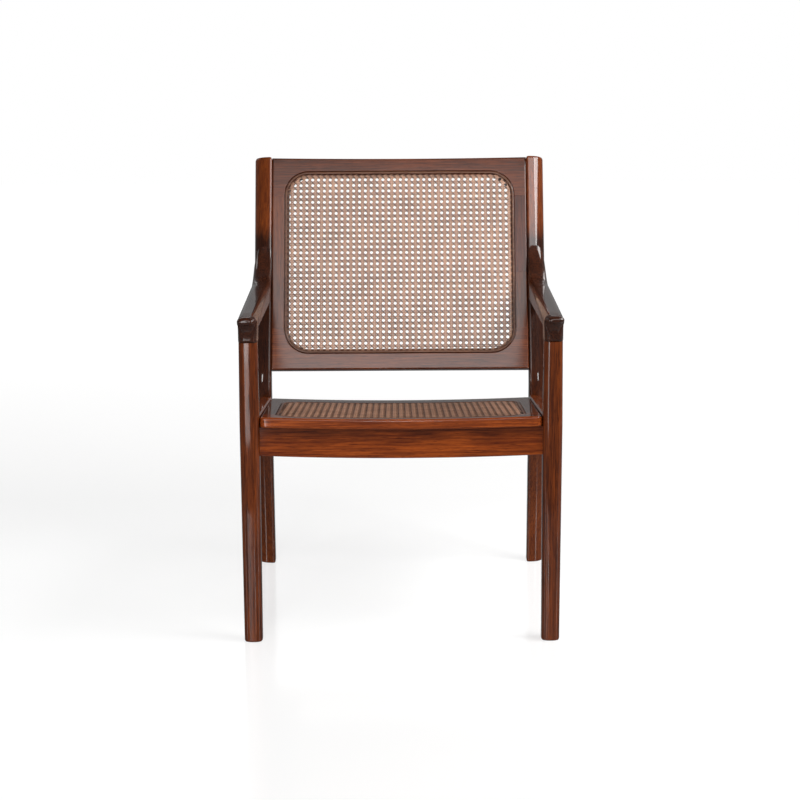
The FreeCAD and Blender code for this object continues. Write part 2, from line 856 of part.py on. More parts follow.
def apron_blank():
    """Apron from leg to leg, with a lower edge that bows down and a top that follows the seat."""
    half = front_leg_inner + front_leg_corner
    bottom = apron_bottom_height
    edges = [
        Part.Arc(V(-half, 0, bottom), V(0, 0, bottom - apron_bow), V(half, 0, bottom)).toShape(),
        Part.LineSegment(V(half, 0, bottom), V(half, 0, seat_front_height)).toShape(),
        Part.LineSegment(V(half, 0, seat_front_height), V(-half, 0, seat_front_height)).toShape(),
        Part.LineSegment(V(-half, 0, seat_front_height), V(-half, 0, bottom)).toShape(),
    ]
    board = Part.Face(Part.Wire(edges)).extrude(V(0, apron_thickness, 0))
    board.translate(V(0, apron_setback, 0))
    return board.common(below_seat(bed_gap))


def apron_tenon(gap):
    """Tenon at the apron's right end, or its mortise when a gap is given."""
    low = apron_bottom_height + tenon_shoulder
    high = seat_front_height - seat_thickness - seat_dish - tenon_shoulder
    middle = apron_setback + apron_thickness / 2
    half = tenon_thickness / 2 + gap
    start = front_leg_inner - tenon_shoulder
    end = front_leg_inner + apron_tenon_length + gap
    return block(start, end, middle - half, middle + half, low - gap, high + gap)


def rear_rail_levels():
    """Middle setback, lower and upper level of the rear rail."""
    middle = rear_leg_front() + knee_depth / 2
    top = seat_top_at(middle) - seat_thickness - seat_dish
    return middle, top - rear_rail_height, top


def rear_rail_tenon(gap):
    middle, low, high = rear_rail_levels()
    half = tenon_thickness / 2 + gap
    start = rear_post_inner - tenon_shoulder
    end = rear_post_inner + apron_tenon_length + gap
    return block(
        start, end, middle - half, middle + half,
        low + tenon_shoulder - gap, high - tenon_shoulder + gap)


def rear_rail_blank():
    middle, low, high = rear_rail_levels()
    half = rear_rail_thickness / 2
    reach = rear_post_inner + rear_post_width / 2
    return block(-reach, reach, middle - half, middle + half, low, high)


# Corner blocks: cut off at the long side, glued and screwed in the corners under the seat

def block_corners():
    """Where each right-hand block begins, at the apron or the rear rail, and which way it runs."""
    middle, low, high = rear_rail_levels()
    return [
        ("front", apron_setback + apron_thickness + glue_gap, 1),
        ("rear", middle - rear_rail_thickness / 2 - glue_gap, -1),
    ]


def block_side_x(setback):
    """Outer face of a block, beside the side rail."""
    return rail_inner_x(setback) - glue_gap


def block_middle_height(setback):
    """Height of a block's middle under the seat at a place."""
    return seat_top_at(setback) - seat_thickness - bed_gap - block_thickness / 2


def block_shape(start, direction):
    """Triangular block with its corner at a setback, reaching the way of the direction."""
    end = start + block_leg * direction
    plan = [
        V(block_side_x(start), start, 0),
        V(block_side_x(end), end, 0),
        V(block_side_x(start) - block_leg, start, 0),
    ]
    column = prism(plan, V(0, 0, seat_front_height))
    top = seat_thickness + bed_gap
    return column.common(placed(dished_layer(top, top + block_thickness), seat_place))


def block_screws(start, direction):
    """Heads, directions and lengths of the two level screws that hold a block to its rails."""
    near = block_leg * block_screw_share
    sunk = block_leg - near - screw_head_height
    height = block_middle_height(start + near * direction)
    side = V(block_side_x(start) - sunk, start + near * direction, height)
    end = V(block_side_x(start) - near, start + sunk * direction, block_middle_height(start))
    return [
        (side, V(1, 0, 0), sunk + screw_bite),
        (end, V(0, -direction, 0), sunk + screw_bite),
    ]


def corner_block_parts():
    """Right-hand blocks with their holes, and the screws and screw holes of the right-hand side."""
    blocks = {}
    wood_screws = []
    wood_holes = []
    seat_holes = [placed(screw_hole(*part), seat_place) for part in seat_screw_parts()]
    for name, start, direction in block_corners():
        holes = []
        for part in block_screws(start, direction):
            wood_screws.append(screw(*part))
            holes.append(screw_hole(*part))
        blocks[name] = block_shape(start, direction).cut(Part.makeCompound(holes + seat_holes))
        wood_holes += holes
    return blocks, wood_screws, wood_holes


def largest(shape):
    """The piece that is kept when a cut leaves offcuts."""
    return max(shape.Solids, key=lambda solid: solid.Volume)


def both_sides(shapes):
    return Part.makeCompound([side for shape in shapes for side in pair(shape)])


def leg_and_arm_nodes(wood_holes):
    """The pieces that come in a left and a right one, by name, without their side."""
    leg = front_leg_body()
    post = rear_leg_body()
    arm = largest(arm_body().cut(behind_post_face()).cut(post))
    arm_dowels, arm_holes = big_dowels(arm_dowel_middles(), V(0, 1, 0))
    panel_holes = placed(big_dowels(panel_dowel_middles(), V(1, 0, 0))[1], back_place)
    front_mortise, rear_mortise = side_rail_tenons(glue_gap)
    leg_cuts = Part.makeCompound([apron_tenon(glue_gap), front_mortise])
    post_cuts = Part.makeCompound([arm_holes, panel_holes, rear_rail_tenon(glue_gap), rear_mortise])
    rail = largest(side_rail_blank().cut(post)).fuse(side_rail_tenons(0))
    halves = {
        "front_leg": leg.fuse(front_tenon(0)).removeSplitter().cut(leg_cuts),
        "rear_leg": post.cut(post_cuts),
        "arm": arm.cut(Part.makeCompound([arm_holes, front_tenon(glue_gap)])),
        "side_rail": rail.cut(Part.makeCompound(wood_holes)).removeSplitter(),
    }
    return halves, leg, post, arm_dowels


def cross_rail(blank, legs, tenon, wood_holes):
    """Rail from one leg to the other, scribed to them, with a tenon at each end."""
    board = largest(blank.cut(both_sides([legs])))
    return board.fuse(pair(tenon)).cut(both_sides(wood_holes)).removeSplitter()


def dowel_nodes(arm_dowels):
    """Each kind of dowel as one group."""
    panel_dowels = big_dowels(panel_dowel_middles(), V(1, 0, 0))[0]
    back_rods = [rod(middle, V(0, 0, 1), dowel_diameter, dowel_length) for middle in back_dowel_middles()]
    seat_rods = [rod(middle, V(0, 1, 0), dowel_diameter, dowel_length) for middle in seat_dowels()]
    return {
        "arm_dowels": arm_dowels,
        "back_panel_dowels": placed(panel_dowels, back_place),
        "back_frame_dowels": placed(Part.makeCompound(back_rods), back_place),
        "seat_frame_dowels": placed(both_sides(seat_rods), seat_place),
    }


def build_nodes():
    """Every piece of the chair by its name, laid out about the front legs' face."""
    blocks, wood_screws, wood_holes = corner_block_parts()
    halves, leg, post, arm_dowels = leg_and_arm_nodes(wood_holes)
    halves["corner_block_front"] = blocks["front"]
    halves["corner_block_rear"] = blocks["rear"]
    nodes = {}
    for name, shape in halves.items():
        nodes[name + "_right"] = shape
        nodes[name + "_left"] = mirrored(shape)
    nodes["front_apron"] = cross_rail(apron_blank(), leg, apron_tenon(0), wood_holes)
    nodes["rear_rail"] = cross_rail(rear_rail_blank(), post, rear_rail_tenon(0), wood_holes)
    nodes.update(back_pieces())
    nodes["back_cane"] = back_cane()
    nodes["back_cane_reed"] = back_reed()
    nodes.update(seat_pieces())
    nodes["seat_cane"] = seat_cane()
    nodes["seat_cane_reed"] = seat_reed()
    nodes.update(dowel_nodes(arm_dowels))
    nodes["corner_block_screws"] = both_sides(wood_screws)
    seat_screws = [screw(*part) for part in seat_screw_parts()]
    nodes["seat_screws"] = placed(both_sides(seat_screws), seat_place)
    return nodes


def main():
    nodes = build_nodes()
    crest = on_back(0, back_height + post_above_panel - post_end_rounding, post_top_depth - post_proud).y
    home = V(0, (arm_nose_reach - crest) / 2, 0)
    os.makedirs("parts", exist_ok=True)
    for name, shape in nodes.items():
        shape.translate(home)
        shape.exportStep(os.path.join("parts", name + ".step"))


main()
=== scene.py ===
import bmesh
import bpy
import math
from mathutils import Matrix, Vector


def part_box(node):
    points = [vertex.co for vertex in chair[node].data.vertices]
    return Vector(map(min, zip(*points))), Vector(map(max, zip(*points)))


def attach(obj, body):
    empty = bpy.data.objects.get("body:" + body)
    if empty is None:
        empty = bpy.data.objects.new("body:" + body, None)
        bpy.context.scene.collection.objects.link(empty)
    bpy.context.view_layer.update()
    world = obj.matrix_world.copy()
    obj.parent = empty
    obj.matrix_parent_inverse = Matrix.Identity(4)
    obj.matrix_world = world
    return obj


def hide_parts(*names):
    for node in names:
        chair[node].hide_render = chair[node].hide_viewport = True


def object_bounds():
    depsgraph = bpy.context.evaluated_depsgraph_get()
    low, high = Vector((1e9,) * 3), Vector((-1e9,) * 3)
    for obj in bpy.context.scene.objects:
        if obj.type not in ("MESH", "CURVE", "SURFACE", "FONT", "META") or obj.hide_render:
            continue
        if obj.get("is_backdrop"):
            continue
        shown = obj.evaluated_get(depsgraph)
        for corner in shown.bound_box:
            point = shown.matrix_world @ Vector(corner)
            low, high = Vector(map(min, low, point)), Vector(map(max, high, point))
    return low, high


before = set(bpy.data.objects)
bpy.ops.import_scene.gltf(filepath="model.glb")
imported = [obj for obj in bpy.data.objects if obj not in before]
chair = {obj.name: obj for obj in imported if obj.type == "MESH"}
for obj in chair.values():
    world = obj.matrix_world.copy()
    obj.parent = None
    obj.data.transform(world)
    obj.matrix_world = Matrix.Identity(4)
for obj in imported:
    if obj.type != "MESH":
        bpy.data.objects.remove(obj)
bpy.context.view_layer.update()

# The studio: a pale floor that ends a little in front of the chair, and dim walls round it. Soft boxes
# stand in front, at the left and high on the right, and show in the lacquer. The camera stands where
# the photographer stood, a little above the arms and square to the chair.
picture_width = 800
focal_length_in_pixels = 2172.1
sensor_width = 36
camera_place = (-0.0097, -4.359064, 1.3712)
camera_tilt = math.radians(12.597)
camera_yaw = math.radians(0.113)
camera_roll = math.radians(-0.262)
floor_front = -1.27
floor_back = 7.0
floor_side = 6.0
black = (0, 0, 0, 1)
full_white = (1, 1, 1, 1)

camera_data = bpy.data.cameras.new("photo_camera")
camera = bpy.data.objects.new("photo_camera", camera_data)
bpy.context.scene.collection.objects.link(camera)
bpy.context.scene.camera = camera
camera_data.sensor_width = sensor_width
camera_data.lens = sensor_width * focal_length_in_pixels / picture_width
camera_data.clip_end = 50
level = math.cos(camera_tilt)
ahead = Vector((math.sin(camera_yaw) * level, math.cos(camera_yaw) * level, -math.sin(camera_tilt)))
sideways = Vector((math.cos(camera_yaw), -math.sin(camera_yaw), 0))
upward = sideways.cross(ahead)
rolled_side = sideways * math.cos(camera_roll) + upward * math.sin(camera_roll)
rolled_up = upward * math.cos(camera_roll) - sideways * math.sin(camera_roll)
turned = Matrix((rolled_side, rolled_up, -ahead)).transposed()
camera.matrix_world = Matrix.Translation(camera_place) @ turned.to_4x4()


def feed(tree, node, inputs):
    """Give each input its value, or link it to the output that it takes its value from."""
    for name, value in inputs.items():
        if isinstance(value, bpy.types.NodeSocket):
            tree.links.new(value, node.inputs[name])
        else:
            node.inputs[name].default_value = value


def node_in(tree, kind, inputs=None, **settings):
    """Add a node to a material or to the world, with its settings and its inputs."""
    node = tree.nodes.new("ShaderNode" + kind)
    for name, value in settings.items():
        setattr(node, name, value)
    feed(tree, node, inputs or {})
    return node


def worked(tree, operation, *values):
    """Result of one step of arithmetic."""
    return node_in(tree, "Math", dict(enumerate(values)), operation=operation).outputs[0]


def ranged(tree, value, low, high, new_low=0.0, new_high=1.0):
    """An output brought from one range into another."""
    return node_in(tree, "MapRange", {
        "Value": value, "From Min": low, "From Max": high, "To Min": new_low, "To Max": new_high}).outputs[0]


def ramped(tree, value, stops):
    """Colours along a ramp, whose stops are given in order by place and colour."""
    node = node_in(tree, "ValToRGB", {"Fac": value})
    for element, (place, colour) in zip(node.color_ramp.elements, (stops[0], stops[-1])):
        element.position = place
        element.color = colour
    for place, colour in stops[1:-1]:
        node.color_ramp.elements.new(place).color = colour
    return node.outputs["Color"]


def mixed(tree, share, first, second, blend="MIX"):
    """The second colour mixed into the first, or blended with it."""
    node = node_in(tree, "Mix", data_type="RGBA", blend_type=blend)
    feed(tree, node, {"Factor": share, "A": first, "B": second})
    return node.outputs["Result"]


def material_named(name):
    """New material with its node tree."""
    material = bpy.data.materials.new(name)
    material.use_nodes = True
    return material, material.node_tree


bpy.ops.object.select_all(action="DESELECT")
bpy.ops.mesh.primitive_plane_add(size=1, location=(0, (floor_front + floor_back) / 2, 0))
floor = bpy.context.object
floor.name = "studio_floor"
floor.data.transform(Matrix.Diagonal((floor_side * 2, floor_back - floor_front, 1, 1)))
bpy.ops.object.transform_apply(location=True, rotation=True, scale=True)
floor_white, paint = material_named("pale_floor")
by_camera = node_in(paint, "LightPath").outputs["Is Camera Ray"]
spot = node_in(paint, "SeparateXYZ", {0: node_in(paint, "TexCoord").outputs["Object"]})
farther = ranged(paint, spot.outputs["Y"], 0.7, 2.6, 0.68, 0.86)
feed(paint, paint.nodes["Principled BSDF"], {
    "Base Color": mixed(paint, by_camera, (0.25, 0.25, 0.25, 1), (0.4, 0.4, 0.397, 1)),
    "Roughness": 0.14,
    "Specular IOR Level": 0.5,
    "Emission Color": full_white,
    "Emission Strength": worked(paint, "MULTIPLY", by_camera, farther),
})
floor.data.materials.append(floor_white)
floor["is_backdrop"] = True

world = bpy.data.worlds.new("studio_air")
bpy.context.scene.world = world
world.use_nodes = True
air = world.node_tree
way = node_in(air, "SeparateXYZ", {0: node_in(air, "TexCoord").outputs["Generated"]}).outputs
walls = worked(
    air, "MULTIPLY", ranged(air, way["Y"], 0.0, 0.6, 0.1, 0.22), ranged(air, way["Z"], 0.25, 0.6, 1.0, 0.4))
lit_band = ramped(air, way["Z"], ((0.26, black), (0.29, full_white), (0.4, full_white), (0.43, black)))
lit_wall = worked(air, "MULTIPLY", lit_band, ranged(air, way["Y"], 0.8, 0.88, 0.0, 0.6))
canopy_shares = (
    (0.3, 0.0), (0.4, 0.4), (0.5, 1.0), (0.545, 0.96), (0.575, 0.45),
    (0.61, 0.2), (0.67, 0.035), (0.8, 0.01), (1.0, 0.0))
canopy = ramped(air, way["Z"], [(height, (share, share, share, 1)) for height, share in canopy_shares])
narrow = ranged(air, worked(air, "ABSOLUTE", way["X"]), 0.2, 0.36, 1.0, 0.0)
in_front = worked(air, "MULTIPLY", narrow, ranged(air, way["Y"], -0.72, -0.5, 4.6, 0.0))
air_light = worked(
    air, "ADD", worked(air, "ADD", walls, lit_wall), worked(air, "MULTIPLY", canopy, in_front))
ray = node_in(air, "LightPath").outputs
white = worked(air, "MAXIMUM", ray["Is Camera Ray"], ray["Is Transmission Ray"])
feed(air, air.nodes["Background"], {
    "Color": full_white, "Strength": worked(air, "MAXIMUM", white, air_light)})


def soft_box(name, place, aim, width, height, brightness):
    """Area light that faces the chair, as bright all over as asked, and stays out of the picture."""
    data = bpy.data.lights.new(name, "AREA")
    data.shape = "RECTANGLE"
    data.size = width
    data.size_y = height
    data.energy = brightness * math.pi * width * height
    lamp = bpy.data.objects.new(name, data)
    bpy.context.scene.collection.objects.link(lamp)
    lamp.visible_camera = False
    lamp.location = place
    lamp.rotation_euler = (Vector(aim) - Vector(place)).to_track_quat("-Z", "Y").to_euler()


soft_box("left_strip", (-0.87, -3.2, 0.9), (-0.6, 0, 0.9), 0.8, 1.8, 5.8)
soft_box("left_strip_foot", (-0.87, -3.2, -0.15), (-0.6, 0, -0.15), 0.8, 0.3, 3.2)
soft_box("right_window", (1.9, -0.5, 2.15), (0.3, 0.3, 0.75), 1.4, 0.95, 12.0)
soft_box("right_front_box", (1.39, -1.25, 2.23), (0.3, 0.3, 0.75), 1.0, 0.9, 4.5)
soft_box("front_lamp", (0.0, -4.4, 1.2), (0, 0, 0.7), 0.3, 0.3, 25.0)
soft_box("left_lamp", (-3.0, -2.5, 1.2), (0, 0, 0.6), 0.5, 0.8, 12.0)
soft_box("right_lamp", (3.0, -2.5, 1.2), (0, 0, 0.6), 0.5, 0.8, 12.0)
soft_box("left_rear_lamp", (-2.4, 1.2, 2.0), (0, 0.2, 0.6), 0.7, 0.9, 2.5)
soft_box("right_rear_lamp", (1.7, 2.4, 1.9), (0, 0.2, 0.6), 0.9, 0.9, 2.5)


# Front legs: two straight hardwood posts, turned down from square stock to a rounded square that is
# thickest at the seat. They are stained, lacquered to a gloss, and a tenon on top holds the arm.
leg_middle = Vector((0.287, -0.348264, 0))
leg_rows = ((0.0009, 0.0332), (0.003, 0.035), (0.2, 0.0364), (0.426, 0.038), (0.589, 0.0357))
leg_blank = 0.029
leg_corner = 0.0123
leg_pale = (0.24, 0.05, 0.0085, 1)
leg_dark = (0.055, 0.011, 0.0032, 1)


def noise_in(tree, size, detail, distortion=0.0, shift=(0, 0, 0), turn=(0, 0, 0)):
    """Noise on a piece's own coordinates, stretched to a size along each axis."""
    mapping = node_in(tree, "Mapping", {
        "Vector": node_in(tree, "TexCoord").outputs["Object"],
        "Location": shift, "Rotation": turn, "Scale": size}, vector_type="TEXTURE")
    return node_in(tree, "TexNoise", {
        "Vector": mapping.outputs["Vector"], "Scale": 1.0, "Detail": detail,
        "Distortion": distortion}).outputs["Fac"]


def bumped(tree, height, strength, distance, invert=False):
    """Surface relief from a height."""
    return node_in(tree, "Bump", {
        "Height": height, "Strength": strength, "Distance": distance}, invert=invert).outputs["Normal"]


def lacquered_wood(
        name, pale, dark, grain="Z", lean=0.0, shift=0.0, gloss=0.06,
        painted_shade=None, painted_shade_tint=(0.2, 0.22, 0.4, 1), painted_shade_foot=(-1.0, -0.5)):
    """Stained open-pored hardwood under clear lacquer, with its grain along one axis of the chair.

    The painted shade gives two heights between which the colour goes from full painted shade to plain,
    and its foot two lower ones between which it goes from plain to full painted shade.
    """
    material, tree = material_named(name)

    def grain_noise(long, across, detail, distortion=0.0):
        size = [long if axis == grain else across for axis in "XYZ"]
        return noise_in(
            tree, size, detail, distortion, (shift, shift * 0.7, shift * 1.3), (-lean, 0, 0))

    figure = ranged(tree, grain_noise(0.3, 0.022, 2.0, 0.8), 0.35, 0.65, 0.0, 0.32)
    streaks = ranged(tree, grain_noise(0.07, 0.0024, 3.0, 0.3), 0.36, 0.64, 0.0, 0.62)
    clouds = ranged(tree, grain_noise(0.12, 0.09, 1.0), 0.3, 0.7, -0.1, 0.12)
    pores = ranged(tree, grain_noise(0.018, 0.0009, 1.0), 0.58, 0.68)
    tone = worked(tree, "ADD", worked(tree, "ADD", figure, streaks), clouds)
    middle = [a * 0.58 + b * 0.42 for a, b in zip(dark, pale)]
    stained = mixed(
        tree, ranged(tree, pores, 0, 1, 0.0, 0.75),
        ramped(tree, tone, ((0.0, dark), (0.5, middle), (1.0, pale))), (0.35, 0.3, 0.3, 1), "MULTIPLY")
    # Painted shade: a band of heights darkened by the tint, where shade falls on the piece.
    if painted_shade:
        place = node_in(tree, "SeparateXYZ", {0: node_in(tree, "TexCoord").outputs["Object"]})
        waver = ranged(tree, grain_noise(0.06, 0.012, 2.0), 0, 1, -0.02, 0.02)
        height = worked(tree, "ADD", place.outputs["Z"], waver)
        band = worked(
            tree, "MULTIPLY", ranged(tree, height, *painted_shade, 1.0, 0.0), ranged(tree, height, *painted_shade_foot))
        stained = mixed(tree, band, stained, painted_shade_tint, "MULTIPLY")
    feed(tree, tree.nodes["Principled BSDF"], {
        "Base Color": stained,
        "Roughness": ranged(tree, tone, 0, 1, 0.5, 0.34),
        "Specular IOR Level": 0.05,
        "Normal": bumped(tree, pores, 0.25, 0.0002, True),
        "Coat Weight": 1.0,
        "Coat Roughness": gloss,
        "Coat IOR": 1.5,
        "Coat Normal": bumped(tree, grain_noise(0.05, 0.009, 1.0), 0.12, 0.0004),
    })
    return material


def hold(piece):
    """Put everything else down and hold one piece."""
    bpy.ops.object.select_all(action="DESELECT")
    piece.select_set(True)
    bpy.context.view_layer.objects.active = piece


def take_up(piece):
    """Open one piece for editing, with all of it selected."""
    hold(piece)
    bpy.ops.object.mode_set(mode="EDIT")
    bpy.ops.mesh.select_all(action="SELECT")


def pick(test, kind="VERT"):
    """Select what passes the test in the open piece: corners by their place, or edges or faces."""
    bpy.ops.mesh.select_mode(type=kind)
    bpy.ops.mesh.select_all(action="DESELECT")
    body = bmesh.from_edit_mesh(bpy.context.object.data)
    if kind == "VERT":
        for corner in body.verts:
            corner.select_set(test(corner.co))
    else:
        for item in body.edges if kind == "EDGE" else body.faces:
            if test(item):
                item.select_set(True)
    bmesh.update_edit_mesh(bpy.context.object.data)


def shift_corners(piece, move):
    """Move each corner of a piece to where the rule puts it."""
    for corner in piece.data.vertices:
        corner.co = move(corner.co)
    piece.data.update()


def outward(piece):
    """Turn the faces of a piece outwards and lay it down."""
    if bpy.context.object is not piece or piece.mode != "EDIT":
        take_up(piece)
    bpy.ops.mesh.select_all(action="SELECT")
    bpy.ops.mesh.normals_make_consistent(inside=False)
    bpy.ops.object.mode_set(mode="OBJECT")


def finished(piece, name, finish, slot, *stands_for):
    """Smooth a piece, give it its finish and put it in the chair for the parts that it stands for."""
    hold(piece)
    bpy.ops.object.shade_smooth_by_angle(angle=math.radians(38))
    piece.name = name
    piece.data.name = name
    piece.data.materials.clear()
    piece.data.materials.append(finish)
    if slot == "lacquered_wood":
        bpy.ops.object.modifier_add(type="WEIGHTED_NORMAL")
        piece.modifiers[-1].keep_sharp = True
        bpy.ops.object.modifier_apply(modifier=piece.modifiers[-1].name)
    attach(piece, "root")
    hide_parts(*stands_for)


def opposite(piece):
    """The same piece for the left side, with its own mesh."""
    twin = piece.copy()
    twin.data = piece.data.copy()
    bpy.context.scene.collection.objects.link(twin)
    twin.data.transform(Matrix.Scale(-1, 4, (1, 0, 0)))
    outward(twin)
    return twin


def blank(add, **form):
    """Start a piece from a simple form, with its place and size applied."""
    bpy.ops.object.select_all(action="DESELECT")
    add(**form)
    bpy.ops.object.transform_apply(location=True, rotation=True, scale=True)
    return bpy.context.object


def extrude(step):
    """Draw out what is selected by a step."""
    bpy.ops.mesh.extrude_region_move(TRANSFORM_OT_translate={"value": step})


def drawn_on(before, after, grow=None):
    """Draw a section on from one middle to the next, and resize it there."""
    extrude(after - before)
    if grow:
        bpy.ops.transform.resize(value=grow, center_override=after)
    return after


def tapered(foot, size_before, rows):
    """Draw a section up from its foot by rows of height and size, and give its last middle."""
    middle = foot
    for height, size in rows:
        grow = size / size_before
        middle = drawn_on(middle, foot + Vector((0, 0, height)), (grow, grow, 1))
        size_before = size
    return middle


front_leg = blank(bpy.ops.mesh.primitive_plane_add, size=leg_blank, location=leg_middle)
take_up(front_leg)
bpy.ops.mesh.bevel(offset=leg_corner, segments=10, affect="VERTICES", profile=0.6)
tapered(leg_middle, leg_blank, leg_rows)
outward(front_leg)
for leg, side, shift in ((front_leg, "right", 1.3), (opposite(front_leg), "left", 4.1)):
    leg_wood = lacquered_wood("front_leg_wood_" + side, leg_pale, leg_dark, "Z", 0, shift)
    finished(leg, "front_leg_post_" + side, leg_wood, "lacquered_wood", "front_leg_" + side)


# Rear legs: each is sawn from one thick plank as a straight leg that bends back at the knee and runs
# on as the leaning back post. Its outer front corner is rounded far over, the others a little.
lean = math.radians(22)
panel_foot = Vector((0, 0.177736, 0.425))
post_foot = Vector((0.2899, 0.177236, 0))
post_foot_size = 0.035
post_foot_rows = ((0.0009, 0.0332), (0.003, post_foot_size))
post_blank = 0.029
post_corners = (((1, -1), 0.0185), ((-1, -1), 0.0042), ((1, 1), 0.0078), ((-1, 1), 0.0068))
post_turn = 0.15
post_pale = (0.27, 0.06, 0.0105, 1)
post_dark = (0.1, 0.02, 0.0045, 1)
# The posts are darker from just under the arms down to the knees, fading out towards the floor: partly a
# darker stain and partly painted shade under the arms and seat.
post_stain_and_painted_shade = (0.688, 0.722)
post_stain_and_painted_shade_foot = (0.0, 0.46)
post_middle_x = 0.29385
post_width = 0.0373
knee_depth = 0.044
knee_height = 0.4
knee_radius = 0.12
knee_steps = 9
post_proud = 0.0028
post_top_depth = 0.037
post_top_rise = 0.469
post_top_rows = ((0.005, 0.0), (0.0031, 0.0016), (0.0014, 0.003), (0.0004, 0.0047), (0.0, 0.0075))


def on_back(rise, behind):
    """Place in the chair's middle plane from its height up the back's slope and its depth behind."""
    return Vector((
        0,
        panel_foot.y + rise * math.sin(lean) + behind * math.cos(lean),
        panel_foot.z + rise * math.cos(lean) - behind * math.sin(lean),
    ))


rear_leg = blank(bpy.ops.mesh.primitive_plane_add, size=post_blank, location=post_foot)
take_up(rear_leg)
for (to_side, to_back), rounding in post_corners:
    at_corner = post_foot + Vector((to_side * post_blank / 2, to_back * post_blank / 2, 0))
    pick(lambda at: (at - at_corner).length < 0.0005)
    bpy.ops.mesh.bevel(offset=rounding, segments=10, affect="VERTICES", profile=0.52)
bpy.ops.object.mode_set(mode="OBJECT")
shift_corners(rear_leg, lambda at: at + Vector((
    0, post_turn * ((at.x - post_foot.x) / (post_blank / 2) + 1) * max(0.0, post_foot.y - at.y), 0)))
take_up(rear_leg)
centre = tapered(post_foot, post_blank, post_foot_rows)
half_depth = knee_depth / 2 - post_proud
knee = on_back((knee_height - panel_foot.z + half_depth * math.sin(lean)) / math.cos(lean), half_depth)
lower = math.atan2(knee.y - post_foot.y, knee.z)
reach = knee_radius * math.tan((lean - lower) / 2)
bend_y = knee.y - math.sin(lower) * reach + math.cos(lower) * knee_radius
bend_z = knee.z - math.cos(lower) * reach - math.sin(lower) * knee_radius
wider = (post_width / post_foot_size, knee_depth / post_foot_size, 1)
angle_before = 0.0
for number in range(knee_steps + 1):
    angle = lower + (lean - lower) * number / knee_steps
    after = Vector((
        post_middle_x,
        bend_y - math.cos(angle) * knee_radius,
        bend_z + math.sin(angle) * knee_radius,
    ))
    centre = drawn_on(centre, after, None if number else wider)
    bpy.ops.transform.rotate(value=angle - angle_before, orient_axis="X", center_override=centre)
    angle_before = angle
depth_before, width_before = knee_depth, post_width
for below, inset in post_top_rows:
    after = on_back(post_top_rise - below, post_top_depth / 2 - post_proud)
    after.x = post_middle_x
    thinner = (post_top_depth - inset) / depth_before
    narrower = (post_width - inset) / width_before
    centre = drawn_on(centre, after, (narrower, thinner, thinner))
    depth_before, width_before = post_top_depth - inset, post_width - inset
outward(rear_leg)
for leg, side, shift in ((rear_leg, "right", 7.7), (opposite(rear_leg), "left", 9.2)):
    post_wood = lacquered_wood(
        "back_post_wood_" + side, post_pale, post_dark, "Z", lean * 0.8, shift,
        painted_shade=post_stain_and_painted_shade, painted_shade_foot=post_stain_and_painted_shade_foot)
    finished(leg, "rear_leg_post_" + side, post_wood, "lacquered_wood", "rear_leg_" + side)


# Front apron: a board on edge between the front legs, tenoned into them. Its lower edge is sawn to a
# shallow bow, its top is planed to the seat's hollow, and its long edges are eased by hand.
apron_half = 0.277
apron_bow_half = 0.268
apron_face = -0.353264
apron_thickness = 0.024
apron_low = 0.368
apron_high = 0.4243
apron_bow = 0.0057
apron_back_fall = 0.0038
apron_easing = 0.0022
stain_pale = (0.45, 0.09, 0.0115, 1)
stain_dark = (0.12, 0.019, 0.0035, 1)
# Painted shadow: the apron's top is darkened where the seat's front rail overhangs it.
apron_painted_shadow = (0.418, 0.392)
apron_painted_shadow_tint = (0.42, 0.42, 0.6, 1)


def run_of(edge):
    """How far an edge runs along each axis."""
    return [abs(first - last) for first, last in zip(edge.verts[0].co, edge.verts[1].co)]


bpy.ops.object.select_all(action="DESELECT")
bpy.ops.mesh.primitive_grid_add(
    x_subdivisions=32, y_subdivisions=1, size=1,
    location=(0, apron_face, (apron_low + apron_high) / 2), rotation=(math.radians(90), 0, 0))
apron = bpy.context.object
apron.scale = (apron_half * 2, apron_high - apron_low, 1)
bpy.ops.object.transform_apply(location=True, rotation=True, scale=True)
take_up(apron)
extrude((0, apron_thickness, 0))
pick(lambda at: at.y > apron_face + 0.01 and at.z > apron_high - 0.001)
bpy.ops.transform.translate(value=(0, 0, -apron_back_fall))
pick(lambda edge: max(end.co.z for end in edge.verts) < apron_low + 0.001 and run_of(edge)[1] < 0.01, "EDGE")
bpy.ops.mesh.bevel(offset=apron_easing, segments=4, affect="EDGES")
outward(apron)
shift_corners(apron, lambda at: Vector((
    at.x, at.y, at.z - apron_bow * max(0.0, 1 - (at.x / apron_bow_half) ** 2))))
apron_wood = lacquered_wood(
    "apron_wood", stain_pale, stain_dark, "X", 0, 2.6, painted_shade=apron_painted_shadow, painted_shade_tint=apron_painted_shadow_tint)
finished(apron, "apron_board", apron_wood, "lacquered_wood", "front_apron")


# Side rails and rear rail: plain boards tenoned between the legs under the seat. The side rails stand
# a little higher than the seat beside them, with rounded edges, and fall towards the back like it.
seat_fall = 0.078 / 0.516
rail_front = -0.3305
rail_rear = 0.1635
rail_front_x = 0.26845
rail_rear_x = 0.27445
rail_thickness = 0.025
rail_height = 0.076
rail_front_top = 0.44386
rail_round = 0.004
rear_rail_length = 0.5504
rear_rail_easing = 0.002

